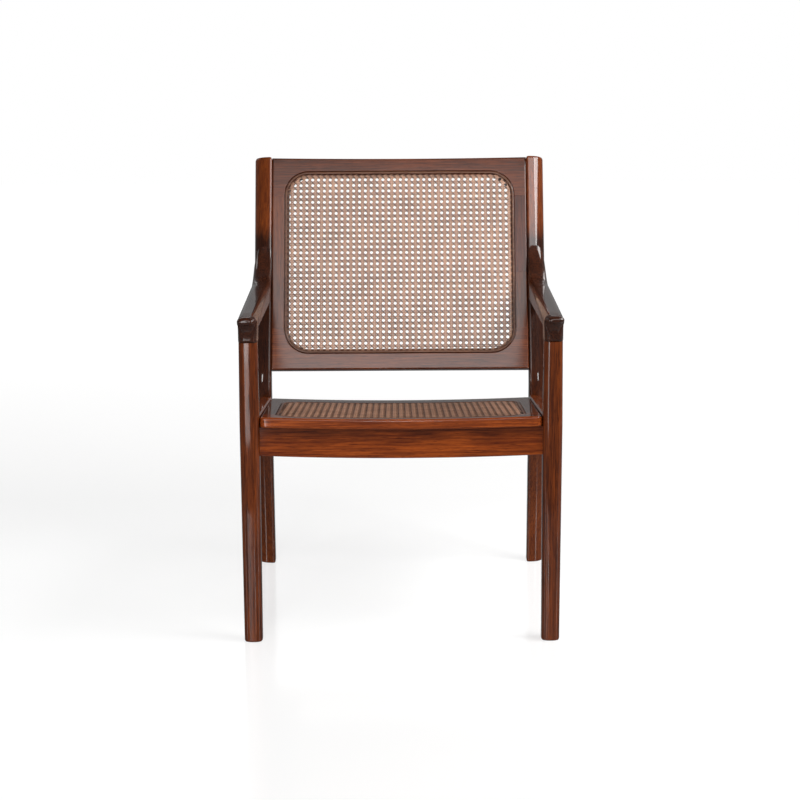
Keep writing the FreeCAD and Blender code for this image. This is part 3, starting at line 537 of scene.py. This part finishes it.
rail_fall = (rail_rear - rail_front) * seat_fall
side_rail = blank(
    bpy.ops.mesh.primitive_cube_add, size=1, scale=(rail_thickness, rail_rear - rail_front, rail_height),
    location=(rail_front_x + rail_thickness / 2, (rail_front + rail_rear) / 2,
              rail_front_top - rail_height / 2))
take_up(side_rail)
pick(lambda at: at.y > 0)
bpy.ops.transform.translate(value=(rail_rear_x - rail_front_x, 0, -rail_fall))
pick(lambda edge: run_of(edge)[1] > 0.1, "EDGE")
bpy.ops.mesh.bevel(offset=rail_round, segments=6, affect="EDGES")
outward(side_rail)
rail_wood = lacquered_wood("side_rail_wood", stain_pale, stain_dark, "Y", math.atan(seat_fall), 5.3)
for rail, side in ((side_rail, "right"), (opposite(side_rail), "left")):
    finished(rail, "side_rail_board_" + side, rail_wood, "lacquered_wood", "side_rail_" + side)

low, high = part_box("rear_rail")
rear_rail = blank(
    bpy.ops.mesh.primitive_cube_add, size=1, location=(0, (low[1] + high[1]) / 2, (low[2] + high[2]) / 2),
    scale=(rear_rail_length, high[1] - low[1], high[2] - low[2]))
take_up(rear_rail)
bpy.ops.mesh.bevel(offset=rear_rail_easing, segments=3, affect="EDGES")
outward(rear_rail)
rear_rail_wood = lacquered_wood("rear_rail_wood", stain_pale, stain_dark, "X", 0, 8.8)
finished(rear_rail, "rear_rail_board", rear_rail_wood, "lacquered_wood", "rear_rail")


# Corner blocks and their screws: triangles of plain sawn beech, glued and screwed into the corners
# under the seat, with zinc-plated countersunk screws. Nobody sees them unless the chair is turned over.
def plain_wood(name, pale, dark):
    """Unfinished pale wood with a soft straight grain."""
    material, tree = material_named(name)
    fibres = noise_in(tree, (0.06, 0.0025, 0.0025), 3.0)
    feed(tree, tree.nodes["Principled BSDF"], {
        "Base Color": ramped(tree, fibres, ((0.3, dark), (0.7, pale))),
        "Roughness": 0.62,
        "Normal": bumped(tree, fibres, 0.3, 0.0003),
    })
    return material


def screw_steel():
    """Zinc-plated steel, a little uneven in its shine."""
    material, tree = material_named("screw_steel")
    spangle = node_in(tree, "TexNoise", {
        "Vector": node_in(tree, "TexCoord").outputs["Object"], "Scale": 900}).outputs["Fac"]
    feed(tree, tree.nodes["Principled BSDF"], {
        "Base Color": ramped(tree, spangle, ((0.0, (0.38, 0.37, 0.35, 1)), (1.0, (0.66, 0.65, 0.6, 1)))),
        "Metallic": 1.0,
        "Roughness": ranged(tree, spangle, 0.0, 1.0, 0.28, 0.46),
    })
    return material


beech = plain_wood("sawn_beech", (0.46, 0.3, 0.17, 1), (0.3, 0.18, 0.095, 1))
steel = screw_steel()
for name, finish in (
        ("corner_block_front_left", beech), ("corner_block_front_right", beech),
        ("corner_block_rear_left", beech), ("corner_block_rear_right", beech),
        ("corner_block_screws", steel), ("seat_screws", steel)):
    chair[name].data.materials.clear()
    chair[name].data.materials.append(finish)


# Seat frame: four rails of flat board dowelled into one trough-shaped frame, hollow from side to side.
# A lip and a groove run round the opening for the cane, and the outer edges are rounded over.
seat_tilt = math.atan(seat_fall)
seat_place = Matrix.Translation((0, -0.363264, 0.446)) @ Matrix.Rotation(-seat_tilt, 4, "X")
seat_dish = 0.005
seat_dish_half = 0.2665
seat_front_half = 0.2665
seat_rear_half = 0.274
seat_run = 0.52186
seat_thickness = 0.02
seat_front_rail = 0.0405
seat_rear_rail = 0.098
seat_side_rail = 0.036
opening_corner = 0.043
lip_width = 0.0018
lip_depth = 0.0014
groove_width = 0.0094
groove_depth = 0.006
seat_joint_front = 0.0865
seat_joint_rear = 0.37786
saw_gap = 0.00012
seat_corners = (0.01, 0.01, 0.008, 0.008)
seat_round = 0.004
cuts_across = 31
cuts_along = 15
groove_arris = ((0.0005, 0.00008), (0.0004, 0.0003), (0.0002, 0.0007))
groove_outside = lip_width + groove_width
# A darker copy of the stain for the seat's side and rear rails: painted shade on their flat tops.
seat_pale_painted_shade = (0.16, 0.042, 0.013, 1)
seat_dark_painted_shade = (0.05, 0.012, 0.005, 1)


def plate(points, radii, corner_steps=10):
    """Flat plate in the frame's own plane, with rounded corners and its long sides divided evenly."""
    board = blank(bpy.ops.mesh.primitive_plane_add, size=1)
    corners = sorted(board.data.vertices, key=lambda corner: (corner.co.y, corner.co.x))
    for corner, point in zip(corners, (points[0], points[1], points[3], points[2])):
        corner.co = (*point, 0)
    take_up(board)
    for point, radius in zip(points, radii):
        at_corner = Vector((*point, 0))
        pick(lambda at: (at - at_corner).length < 0.0005)
        bpy.ops.mesh.bevel(offset=radius, segments=corner_steps, affect="VERTICES", profile=0.5)
    bpy.ops.mesh.select_all(action="SELECT")
    bpy.ops.mesh.delete(type="ONLY_FACE")
    for crosswise, cuts in ((True, cuts_across), (False, cuts_along)):

        def long_side(edge):
            run = run_of(edge)
            return math.hypot(*run) > 0.1 and (run[0] > run[1]) == crosswise

        pick(long_side, "EDGE")
        bpy.ops.mesh.subdivide(number_cuts=cuts)
    bpy.ops.mesh.select_all(action="SELECT")
    bpy.ops.mesh.edge_face_add()
    bpy.ops.mesh.select_mode(type="FACE")
    return board


def lies_at(item, level):
    """Whether an edge or a face lies flat at a level."""
    return all(abs(corner.co.z - level) < 0.0001 for corner in item.verts)


def remove_caps(thickness):
    """Take away the many-sided faces on both sides of a frame of that thickness."""
    pick(lambda face: len(face.verts) > 8 and (lies_at(face, 0) or lies_at(face, -thickness)), "FACE")
    bpy.ops.mesh.delete(type="ONLY_FACE")
    bpy.ops.object.mode_set(mode="OBJECT")


def together(*pieces):
    """Join pieces into the first of them."""
    bpy.ops.object.select_all(action="DESELECT")
    for piece in pieces:
        piece.select_set(True)
    bpy.context.view_layer.objects.active = pieces[0]
    bpy.ops.object.join()
    return pieces[0]


def grooved_frame(outline, radii, opening, thickness, rounding):
    """Frame with a rounded outer edge, and a groove and a lip for cane round its opening."""
    slab = plate(outline, radii)
    extrude((0, 0, -thickness))
    pick(lambda edge: run_of(edge)[2] < 0.0001, "EDGE")
    bpy.ops.mesh.bevel(offset=rounding, segments=5, affect="EDGES")
    remove_caps(thickness)
    cup = plate(opening, [opening_corner + groove_outside] * 4)
    for inward, down in groove_arris:
        bpy.ops.mesh.inset(thickness=inward)
        bpy.ops.transform.translate(value=(0, 0, -down))
    extrude((0, 0, sum(down for inward, down in groove_arris) - groove_depth))
    bpy.ops.mesh.inset(thickness=groove_width - sum(inward for inward, down in groove_arris))
    extrude((0, 0, groove_depth - lip_depth))
    bpy.ops.mesh.inset(thickness=lip_width)
    extrude((0, 0, lip_depth - thickness))
    remove_caps(thickness)
    take_up(together(slab, cup))
    for level in (0, -thickness):
        pick(lambda edge: edge.is_boundary and lies_at(edge, level), "EDGE")
        bpy.ops.mesh.fill(use_beauty=True)
    outward(slab)
    return slab


def up_to(joint):
    """Saw cut that keeps what lies before or below a joint: its place, and the way that falls away."""
    return (0, joint - saw_gap, 0), (0, 1, 0)


def from_on(joint):
    """Saw cut that keeps what lies behind or above a joint."""
    return (0, joint + saw_gap, 0), (0, -1, 0)


def sawn(whole, cuts):
    """Copy of a whole frame, sawn off at each cut."""
    piece = whole.copy()
    piece.data = whole.data.copy()
    bpy.context.scene.collection.objects.link(piece)
    take_up(piece)
    for place, away in cuts:
        bpy.ops.mesh.select_all(action="SELECT")
        bpy.ops.mesh.bisect(plane_co=place, plane_no=away, use_fill=True, clear_outer=True)
    outward(piece)
    return piece


def dished(at):
    """The seat's hollow: lowest along its middle, level with the frame's plane at its sides."""
    return Vector((at.x, at.y, at.z - seat_dish * (1 - (at.x / seat_dish_half) ** 2)))


def seat_half_at(run):
    """Half of the seat's width at a distance behind its front edge."""
    return seat_front_half + (seat_rear_half - seat_front_half) * run / seat_run


def seat_opening(grow):
    """Corners of the seat's opening, or of an outline that much larger all round."""
    first = seat_front_rail - grow
    last = seat_run - seat_rear_rail + grow
    near = seat_half_at(first) - seat_side_rail + grow
    far = seat_half_at(last) - seat_side_rail + grow
    return [(-near, first), (near, first), (far, last), (-far, last)]


seat_outline = [(-seat_front_half, 0), (seat_front_half, 0),
                (seat_rear_half, seat_run), (-seat_rear_half, seat_run)]
seat_whole = grooved_frame(
    seat_outline, seat_corners, seat_opening(groove_outside), seat_thickness, seat_round)
shift_corners(seat_whole, dished)
right_half = ((0, 0, 0), (-1, 0, 0))
left_half = ((0, 0, 0), (1, 0, 0))
seat_cuts = {
    "seat_front_rail": (up_to(seat_joint_front),),
    "seat_rear_rail": (from_on(seat_joint_rear),),
    "seat_side_rail_right": (from_on(seat_joint_front), up_to(seat_joint_rear), right_half),
    "seat_side_rail_left": (from_on(seat_joint_front), up_to(seat_joint_rear), left_half),
}
for number, (name, cuts) in enumerate(seat_cuts.items()):
    rail = sawn(seat_whole, cuts)
    rail.data.transform(seat_place)
    way = "Y" if "side" in name else "X"
    # The front rail keeps the plain stain; the side and rear rails take the painted shade.
    pale, dark = (stain_pale, stain_dark) if name == "seat_front_rail" else (seat_pale_painted_shade, seat_dark_painted_shade)
    wood = lacquered_wood(name + "_wood", pale, dark, way, seat_tilt, 3.1 + number)
    finished(rail, name + "_board", wood, "lacquered_wood", name)
bpy.data.objects.remove(seat_whole)


# Seat cane: strands of glossy rattan bark woven in six ways. Pairs run along and across the seat and
# single strands cross on both slants between the holes. The ends are pressed down into the groove.
pitch_across = 0.01265
pitch_along = 0.01242
pair_counts = (20, 17)
slant_counts = (20, 16)
pair_half = 0.00165
strand_half_width = 0.00143
strand_half_thickness = 0.00024
weave_wave = 0.00026
slant_wave = 0.00042
cane_middle = -0.0006
cane_end = 0.0078
cane_bend = 0.0014
cane_bend_depth = 0.0046
cane_slope = 2.2
cane_tints = {
    "X": ((0.5, 0.27, 0.165, 1), (0.24, 0.115, 0.065, 1)),
    "Y": ((0.54, 0.29, 0.18, 1), (0.27, 0.13, 0.075, 1)),
    "rising": ((0.5, 0.27, 0.17, 1), (0.26, 0.125, 0.075, 1)),
    # The falling strands are tinted near black: painted shade for the dark gaps between the strands.
    "falling": ((0.1, 0.05, 0.035, 1), (0.04, 0.02, 0.014, 1)),
}


def cane_bark(name, pale, dark, along):
    """Rattan bark: smooth and a little glossy, straw to brown in streaks along each strand."""
    material, tree = material_named(name)
    thin, long, slanting = 0.0022, 0.05, (0.006, 0.006, 0.006)
    size = {"X": (long, thin, thin), "Y": (thin, long, long), "rising": slanting, "falling": slanting}[along]
    streak = noise_in(tree, size, 2.0)
    patch = noise_in(tree, (0.05, 0.05, 0.05), 2.0)
    both = node_in(tree, "Mix", {"Factor": 0.4, "A": streak, "B": patch}).outputs["Result"]
    # Darker towards each strand's edges: partly the cut bark's own colour and partly painted shade between
    # the strands.
    edge = node_in(tree, "Attribute", attribute_name="strand_edge").outputs["Fac"]
    feed(tree, tree.nodes["Principled BSDF"], {
        "Base Color": mixed(
            tree, ranged(tree, edge, 0.25, 0.95, 0.0, 0.85),
            ramped(tree, both, ((0.36, dark), (0.62, pale))), (0.3, 0.2, 0.17, 1), "MULTIPLY"),
        "Roughness": ranged(tree, streak, 0.0, 1.0, 0.38, 0.6),
        "Normal": bumped(tree, noise_in(tree, (0.002, 0.002, 0.002), 1.0), 0.3, 0.0002),
        "Coat Weight": 0.35,
        "Coat Roughness": 0.25,
    })
    return material


def repeated(piece, count, step, joined=False):
    """Repeat a piece in even steps."""
    hold(piece)
    bpy.ops.object.modifier_add(type="ARRAY")
    array = piece.modifiers[-1]
    array.count = count
    array.use_relative_offset = False
    array.use_constant_offset = True
    array.constant_offset_displace = step
    array.use_merge_vertices = joined
    array.merge_threshold = 0.00002
    bpy.ops.object.modifier_apply(modifier=array.name)


def one_wave(start, way, wave, heights):
    """One wave of a flat six-sided strand from a start, with its height at each quarter."""
    strand = blank(
        bpy.ops.mesh.primitive_circle_add, vertices=6, radius=strand_half_width,
        fill_type="NOTHING", rotation=(math.radians(90), 0, 0))
    strand.data.transform(Matrix.Diagonal((1, 1, strand_half_thickness / strand_half_width, 1)))
    # Mark the strand's edges, which the bark darkens, partly as painted shade.
    edge = strand.data.attributes.new("strand_edge", "FLOAT", "POINT")
    for corner in strand.data.vertices:
        edge.data[corner.index].value = 1.0 if abs(corner.co.x) > strand_half_width * 0.9 else 0.0
    strand.data.transform(Matrix.Rotation(math.atan2(way[1], way[0]) + math.radians(90), 4, "Z"))
    strand.data.transform(Matrix.Translation((start[0], start[1], heights[0] * wave)))
    take_up(strand)
    for before, after in zip(heights, heights[1:]):
        extrude((way[0] / 4, way[1] / 4, (after - before) * wave))
    bpy.ops.object.mode_set(mode="OBJECT")
    return strand


def straight_pairs(middle, across):
    """All the pairs that run one way: across the opening, or along it."""
    run, turn = (0, 1) if across else (1, 0)
    pitch = (pitch_across, pitch_along)
    sign = 1 if across else -1
    way, sidestep = [0, 0, 0], [0, 0, 0]
    way[run] = pitch[run] * 2
    sidestep[turn] = pitch[turn] * 2
    strands = []
    for odd in (0, 1):
        for side in (-pair_half, pair_half):
            start = list(middle)
            start[run] -= (pair_counts[run] + 0.5 + odd) * pitch[run]
            start[turn] += (odd - pair_counts[turn]) * pitch[turn] + side
            strand = one_wave(start, way, weave_wave, (0, sign, 0, -sign, 0))
            repeated(strand, pair_counts[run] + 2, way, True)
            repeated(strand, pair_counts[turn], sidestep)
            strands.append(strand)
    return together(*strands)


def slanting_singles(middle, side):
    """Single strands on one slant, between the holes: rising to the right, or falling."""
    count_across, count_along = slant_counts
    start = (
        middle[0] - side * (count_across + count_along * 2 + 1.75) * pitch_across,
        middle[1] - (count_along + 0.25) * pitch_along)
    way = (pitch_across * side, pitch_along, 0)
    strand = one_wave(start, way, slant_wave, (0, -side, 0, side, 0))
    repeated(strand, count_along * 2 + 2, way, True)
    repeated(strand, count_across * 2 + count_along * 2 + 4, (way[0], 0, 0))
    return strand


def woven(name, middle):
    """The four layers of a cane sheet, each with its name and the way that its strands run."""
    return (
        (name + "_across", straight_pairs(middle, True), "X"),
        (name + "_along", straight_pairs(middle, False), "Y"),
        (name + "_rising", slanting_singles(middle, 1), "rising"),
        (name + "_falling", slanting_singles(middle, -1), "falling"),
    )


def trimmed(cane, beyond):
    """Cut a woven layer at mid-groove, press its ends down into the groove and close them."""
    take_up(cane)
    pick(lambda at: beyond(at.x, at.y) > cane_end)
    bpy.ops.mesh.delete(type="VERT")
    bpy.ops.mesh.select_all(action="SELECT")
    bpy.ops.mesh.fill_holes(sides=6)
    bpy.ops.object.mode_set(mode="OBJECT")

    def laid(at):
        over = max(0.0, beyond(at.x, at.y) - cane_bend)
        return Vector((at.x, at.y, at.z + cane_middle - min(cane_bend_depth, over * cane_slope)))

    shift_corners(cane, laid)
    outward(cane)


def rounded_beyond(middle, half_across, half_along, corner):
    """Rule that says how far a place lies outside a rounded opening."""
    def rule(x, y):
        over_x = abs(x - middle[0]) - (half_across(y) - corner)
        over_y = abs(y - middle[1]) - (half_along - corner)
        outside = math.hypot(max(over_x, 0), max(over_y, 0))
        return outside + min(max(over_x, over_y), 0) - corner
    return rule


seat_middle = (0.0, (seat_front_rail + seat_run - seat_rear_rail) / 2)
seat_beyond = rounded_beyond(
    seat_middle, lambda run: seat_half_at(run) - seat_side_rail,
    (seat_run - seat_rear_rail - seat_front_rail) / 2, opening_corner)
for name, layer, way in woven("seat_cane", seat_middle):
    trimmed(layer, seat_beyond)
    shift_corners(layer, dished)
    layer.data.transform(seat_place)
    finished(layer, name, cane_bark(name + "_bark", *cane_tints[way], way), "cane", "seat_cane")


# Reed: a half-round length of rattan core, soaked, glued and knocked down into the groove over the
# cane's ends, where it dries tight. It is stained with the frame and stands a little proud of it.
reed_outside = 0.0092
reed_width = 0.0056
reed_proud = 0.0004
reed_depth = 0.0057
reed_round = 0.0018
reed_pale = (0.2, 0.085, 0.045, 1)
reed_dark = (0.08, 0.028, 0.014, 1)


def reed_stain(name):
    """Stained reed with fine fibres along it and a thin lacquer."""
    material = lacquered_wood(name, reed_pale, reed_dark, "X", 0, 6.2, 0.2)
    material.node_tree.nodes["Principled BSDF"].inputs["Coat Weight"].default_value = 0.6
    return material


def reed_ring(opening):
    """Closed ring of reed for a groove."""
    ring = plate(opening, [opening_corner + reed_outside] * 4, 14)
    bpy.ops.mesh.inset(thickness=reed_width)
    bpy.ops.mesh.delete(type="FACE")
    bpy.ops.mesh.select_all(action="SELECT")
    top = reed_proud + reed_depth
    extrude((0, 0, top))

    def upper_rim(edge):
        return lies_at(edge, top) and sum(abs(face.normal.z) > 0.5 for face in edge.link_faces) == 1

    pick(upper_rim, "EDGE")
    bpy.ops.mesh.bevel(offset=reed_round, segments=4, affect="EDGES")
    outward(ring)
    ring.data.transform(Matrix.Translation((0, 0, -reed_depth)))
    return ring


seat_reed = reed_ring(seat_opening(reed_outside))
shift_corners(seat_reed, dished)
seat_reed.data.transform(seat_place)
finished(seat_reed, "seat_reed_ring", reed_stain("seat_reed_stain"), "reed", "seat_cane_reed")


# Back frame: a top rail and a bottom rail with their rounded inner corners, joined to the stiles by
# dowels. The right stile is of two lengths joined end to end, and the upper one is redder wood.
back_place = Matrix.Translation(panel_foot) @ Matrix.Rotation(math.radians(90) - lean, 4, "X")
back_half = 0.275
back_height = 0.4665
back_thickness = 0.024
back_corner = 0.0012
back_round = 0.0036
back_top_rail = 0.0404
back_bottom_rail = 0.0448
back_stile = 0.0367
back_dip = 0.0025
back_joint_low = 0.0908
back_joint_high = 0.3801
back_scarf = 0.2118
panel_stains = {
    "back_top_rail": ((0.165, 0.036, 0.008, 1), (0.055, 0.012, 0.0034, 1)),
    "back_bottom_rail": ((0.21, 0.048, 0.0105, 1), (0.075, 0.016, 0.0045, 1)),
    "back_stile_left": ((0.18, 0.042, 0.009, 1), (0.062, 0.014, 0.004, 1)),
    "back_stile_right_upper": ((0.125, 0.023, 0.0055, 1), (0.035, 0.0064, 0.0024, 1)),
    "back_stile_right_lower": ((0.17, 0.038, 0.0085, 1), (0.068, 0.015, 0.0042, 1)),
}
panel_gloss = 0.17


def back_opening(grow):
    """Corners of the back's opening, or of an outline that much larger all round."""
    half = back_half - back_stile + grow
    bottom = back_bottom_rail - grow
    top = back_height - back_top_rail + grow
    return [(-half, bottom), (half, bottom), (half, top), (-half, top)]


def dipped(at):
    """The crest: its upper edge dips to the middle."""
    start = back_height - back_top_rail + groove_outside
    share = min(1.0, max(0.0, (at.y - start) / (back_height - start)))
    return Vector((at.x, at.y - back_dip * share * (1 - (at.x / back_half) ** 2), at.z))


back_outline = [(-back_half, 0), (back_half, 0), (back_half, back_height), (-back_half, back_height)]
back_whole = grooved_frame(
    back_outline, [back_corner] * 4, back_opening(groove_outside), back_thickness, back_round)
shift_corners(back_whole, dipped)
back_cuts = {
    "back_top_rail": (from_on(back_joint_high),),
    "back_bottom_rail": (up_to(back_joint_low),),
    "back_stile_left": (from_on(back_joint_low), up_to(back_joint_high), left_half),
    "back_stile_right_upper": (from_on(back_scarf), up_to(back_joint_high), right_half),
    "back_stile_right_lower": (from_on(back_joint_low), up_to(back_scarf), right_half),
}
for number, (name, cuts) in enumerate(back_cuts.items()):
    rail = sawn(back_whole, cuts)
    rail.data.transform(back_place)
    way = "X" if name.endswith("rail") else "Z"
    wood = lacquered_wood(name + "_wood", *panel_stains[name], way, lean, 11.3 + number, panel_gloss)
    finished(rail, name + "_board", wood, "lacquered_wood", name)
bpy.data.objects.remove(back_whole)


# Back cane and reed: the same six-way weave as the seat's, pressed into the back's groove a little off
# the middle, with its own ring of reed.
back_middle = (0.0, (back_bottom_rail + back_height - back_top_rail) / 2)
back_cane_middle = (-0.0037, back_middle[1] + 0.0012)
back_beyond = rounded_beyond(
    back_middle, lambda rise: back_half - back_stile,
    (back_height - back_top_rail - back_bottom_rail) / 2, opening_corner)
for name, layer, way in woven("back_cane", back_cane_middle):
    trimmed(layer, back_beyond)
    layer.data.transform(back_place)
    finished(layer, name, cane_bark(name + "_bark", *cane_tints[way], way), "cane", "back_cane")
back_reed = reed_ring(back_opening(reed_outside))
back_reed.data.transform(back_place)
finished(back_reed, "back_reed_ring", reed_stain("back_reed_stain"), "reed", "back_cane_reed")


# Arms: each is carved from one block of darker wood. A rounded nose hangs over the front leg with a
# scoop below it, a square head sits on the leg's tenon, and the rear end is feathered up the post.
arm_top = 0.643
arm_fall_angle = math.radians(3.4)
arm_front_face = -0.367264
arm_nose = 0.016
arm_nose_width = 0.0322
arm_nose_share = 0.48
arm_droop = 0.0035
arm_droop_end = 0.05
arm_rim_depth = 0.0075
arm_rim_wide = 0.0148
arm_rim_high = 0.007
arm_rim_side = 0.0085
arm_rim_foot = 0.6243
arm_rim_crown = 0.0072
arm_crown_share = 0.6
arm_scoop_round = 0.0035
arm_scoop_foot = 0.5945
arm_neck_round = 0.011
arm_neck_rise = 0.014
arm_joint = 0.589
arm_foot_round = 0.0045
arm_foot_edge = 0.003
arm_head_edge = 0.002
arm_head_middle = 0.019
arm_head_end = 0.038
arm_spring = 0.013
arm_front_width = 0.037
arm_rear_width = 0.041
arm_rear_outer = 0.3165
arm_front_thickness = 0.033
arm_rear_thickness = 0.046
arm_round = 0.012
arm_shoulder_share = 0.87
arm_under_round = 0.009
arm_cove = 0.11
arm_feather = math.radians(2.2)
arm_proud = 0.0003
arm_meets_about = 0.5445
arm_tail = 0.014
arm_cut_behind = 0.004
arm_end_outer = 0.0185
arm_end_inner = 0.0042
arm_cove_steps = 14
arm_steps = 6
arm_pale = (0.08, 0.022, 0.0095, 1)
arm_dark = (0.018, 0.0062, 0.004, 1)


def arm_top_at(setback):
    """Height of the arm's upper line behind the legs' front face."""
    droop = max(0.0, (arm_droop_end - setback) / (arm_droop_end + arm_nose)) ** 2 * arm_droop
    return arm_top - (setback + arm_nose) * math.tan(arm_fall_angle) - droop


def post_face_at(height):
    """How far back the arm's thin end lies on the leaning post at a height."""
    ahead_of_panel = post_proud + arm_proud
    rise = (height - panel_foot.z - ahead_of_panel * math.sin(lean)) / math.cos(lean)
    return on_back(rise, -ahead_of_panel).y - arm_front_face


def arm_ring(setback, inner, outer, bottom, top, top_inner, top_outer, under):
    """Corners of one section of the arm, in order. A rounding is given by its width and height."""
    ring = []
    for x, z, (wide, high), start in (
            (inner, bottom, under, 180), (outer, bottom, under, 270),
            (outer, top, top_outer, 0), (inner, top, top_inner, 90)):
        middle_x = x + (wide if x == inner else -wide)
        middle_z = z + (high if z == bottom else -high)
        for step in range(9):
            angle = math.radians(start + 90 * step / 8)
            ring.append(Vector((
                middle_x + math.cos(angle) * wide, arm_front_face + setback,
                middle_z + math.sin(angle) * high)))
    return ring


leg_x = leg_middle.x
arm_meets = post_face_at(arm_top_at(arm_meets_about))
sweep = math.radians(90) + arm_fall_angle - lean
cove_start = arm_meets - arm_cove * (math.cos(arm_feather) - math.cos(sweep)) / math.sin(sweep)
rear_inner = arm_rear_outer - arm_rear_width
front_outer = leg_x + arm_front_width / 2
front_inner = leg_x - arm_front_width / 2


def between(first, last, share):
    """Value that lies that share of the way from the first to the last."""
    return first + (last - first) * share


def share_back(setback):
    """Share of the way from the head's middle to the post."""
    return (setback - arm_head_middle) / (arm_meets - arm_head_middle)


def arm_inner(setback):
    """Inner side of the arm at a setback."""
    return between(front_inner, rear_inner, share_back(setback))


def arm_outer(setback):
    """Outer side of the arm at a setback."""
    return between(front_outer, arm_rear_outer, share_back(setback))


def arm_under(setback):
    """Height of the arm's underside behind its head."""
    return arm_top_at(setback) - between(arm_front_thickness, arm_rear_thickness, share_back(setback))


def even_ring(setback, bottom, under):
    """Section of the arm behind its shoulders, with even roundings."""
    return arm_ring(
        setback, arm_inner(setback), arm_outer(setback), bottom, arm_top_at(setback),
        (arm_round, arm_round), (arm_round, arm_round), (under, under))


rings = []
nose_inner = front_outer - arm_nose_width
for turn in (0, 15, 30, 45, 60, 75, 90):
    angle = math.radians(turn)
    setback = -arm_nose + arm_rim_depth * (1 - math.cos(angle))
    narrower = arm_rim_side * (1 - math.sin(angle))
    lower = arm_rim_high * (1 - math.sin(angle))
    top = arm_top_at(setback) - lower
    bottom = arm_rim_foot + lower
    rounding = (arm_rim_wide - narrower, (top - bottom) * arm_nose_share)
    rings.append(arm_ring(
        setback, nose_inner + narrower, front_outer - narrower, bottom, top,
        rounding, rounding, rounding))
rim_end = -arm_nose + arm_rim_depth
for turn in (15, 30, 45, 60, 75, 90):
    angle = math.radians(turn)
    share = turn / 90
    setback = rim_end * (1 - math.sin(angle))
    inner = between(nose_inner, front_inner, 1 - setback / rim_end)
    bottom = arm_scoop_foot + (arm_rim_foot - arm_scoop_foot) * math.cos(angle)
    crown = (
        between(arm_rim_wide, arm_round, share), between(arm_rim_crown, arm_round, share * arm_crown_share))
    under = (between(arm_rim_wide, arm_scoop_round, share), between(arm_rim_crown, arm_scoop_round, share))
    rings.append(arm_ring(
        setback, inner, front_outer, bottom, arm_top_at(setback), crown, crown, under))
shoulder = (arm_round * arm_shoulder_share, arm_round * arm_shoulder_share)
for turn in (0, 30, 60, 90):
    angle = math.radians(turn)
    setback = 0.0001 + arm_foot_round * (1 - math.cos(angle))
    bottom = arm_joint + arm_foot_round * (1 - math.sin(angle))
    rings.append(arm_ring(
        setback, front_inner, front_outer, bottom, arm_top_at(setback),
        shoulder, shoulder, (arm_foot_edge, arm_foot_edge)))
for setback in (0.014, 0.026, arm_head_end):
    rings.append(even_ring(setback, arm_joint, arm_head_edge))
spring = arm_head_end + arm_spring
for step in range(1, 5):
    angle = math.radians(90 * step / 4)
    rings.append(even_ring(
        arm_head_end + arm_spring * (1 - math.cos(angle)),
        between(arm_joint, arm_under(spring), math.sin(angle)),
        between(arm_head_edge, arm_under_round, step / 4)))
for step in range(1, arm_steps + 1):
    setback = between(spring, cove_start, step / arm_steps)
    rings.append(even_ring(setback, arm_under(setback), arm_under_round))
for step in range(1, arm_cove_steps + 2):
    share = min(1.0, step / arm_cove_steps)
    angle = (sweep - arm_feather) * share - arm_fall_angle
    setback = cove_start + arm_cove * (math.sin(angle) + math.sin(arm_fall_angle))
    top = arm_top_at(cove_start) + arm_cove * (math.cos(arm_fall_angle) - math.cos(angle))
    if step > arm_cove_steps:
        setback += arm_tail
    wide_inner = between(arm_round, arm_end_inner, share)
    wide_outer = between(arm_round, arm_end_outer, share)
    rings.append(arm_ring(
        setback, between(arm_inner(cove_start), post_middle_x - post_width / 2, share),
        between(arm_outer(cove_start), post_middle_x + post_width / 2, share ** 2),
        arm_under(min(setback, arm_meets)), top,
        (wide_inner, wide_inner / math.cos(angle)), (wide_outer, wide_outer / math.cos(angle)),
        (arm_under_round, arm_under_round)))

arm_mesh = bpy.data.meshes.new("arm_blank")
arm = bpy.data.objects.new("arm_blank", arm_mesh)
bpy.context.scene.collection.objects.link(arm)
body = bmesh.new()
rows = [[body.verts.new(at) for at in ring] for ring in rings]
for row, following in zip(rows, rows[1:]):
    for index in range(len(row)):
        after = (index + 1) % len(row)
        body.faces.new((row[index], row[after], following[after], following[index]))
body.faces.new(rows[0])
body.faces.new(rows[-1])
body.to_mesh(arm_mesh)
body.free()


def rounded_neck(at):
    """Below the nose, draw in the head's front corners to meet the rounded leg."""
    setback = max(0.0, at.y - arm_front_face)
    share = min(1.0, max(0.0, (arm_rim_foot + 0.001 - at.z) / arm_neck_rise))
    share = share * share * (3 - 2 * share)
    reach = max(0.0, arm_neck_round - setback)
    narrower = arm_neck_round - math.sqrt(arm_neck_round ** 2 - reach ** 2)
    return Vector((leg_x + (at.x - leg_x) * (1 - share * narrower / (arm_front_width / 2)), at.y, at.z))


shift_corners(arm, rounded_neck)
take_up(arm)
bpy.ops.mesh.remove_doubles(threshold=0.00002)
bpy.ops.mesh.select_all(action="SELECT")
bpy.ops.mesh.bisect(
    plane_co=on_back(0.2, arm_cut_behind), plane_no=(0, math.cos(lean), -math.sin(lean)),
    use_fill=True, clear_outer=True)
outward(arm)
for piece, side, shift in ((arm, "right", 21.4), (opposite(arm), "left", 25.9)):
    arm_wood = lacquered_wood("arm_wood_" + side, arm_pale, arm_dark, "Y", arm_fall_angle, shift)
    finished(piece, "arm_carved_" + side, arm_wood, "lacquered_wood", "arm_" + side)


# Dowels: fluted beech pins, glued half into each piece. They lie wholly inside the joints.
for name in ("arm_dowels", "back_panel_dowels", "back_frame_dowels", "seat_frame_dowels"):
    chair[name].data.materials.clear()
    chair[name].data.materials.append(beech)


bpy.context.scene.view_settings.view_transform = "Standard"
low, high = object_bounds()
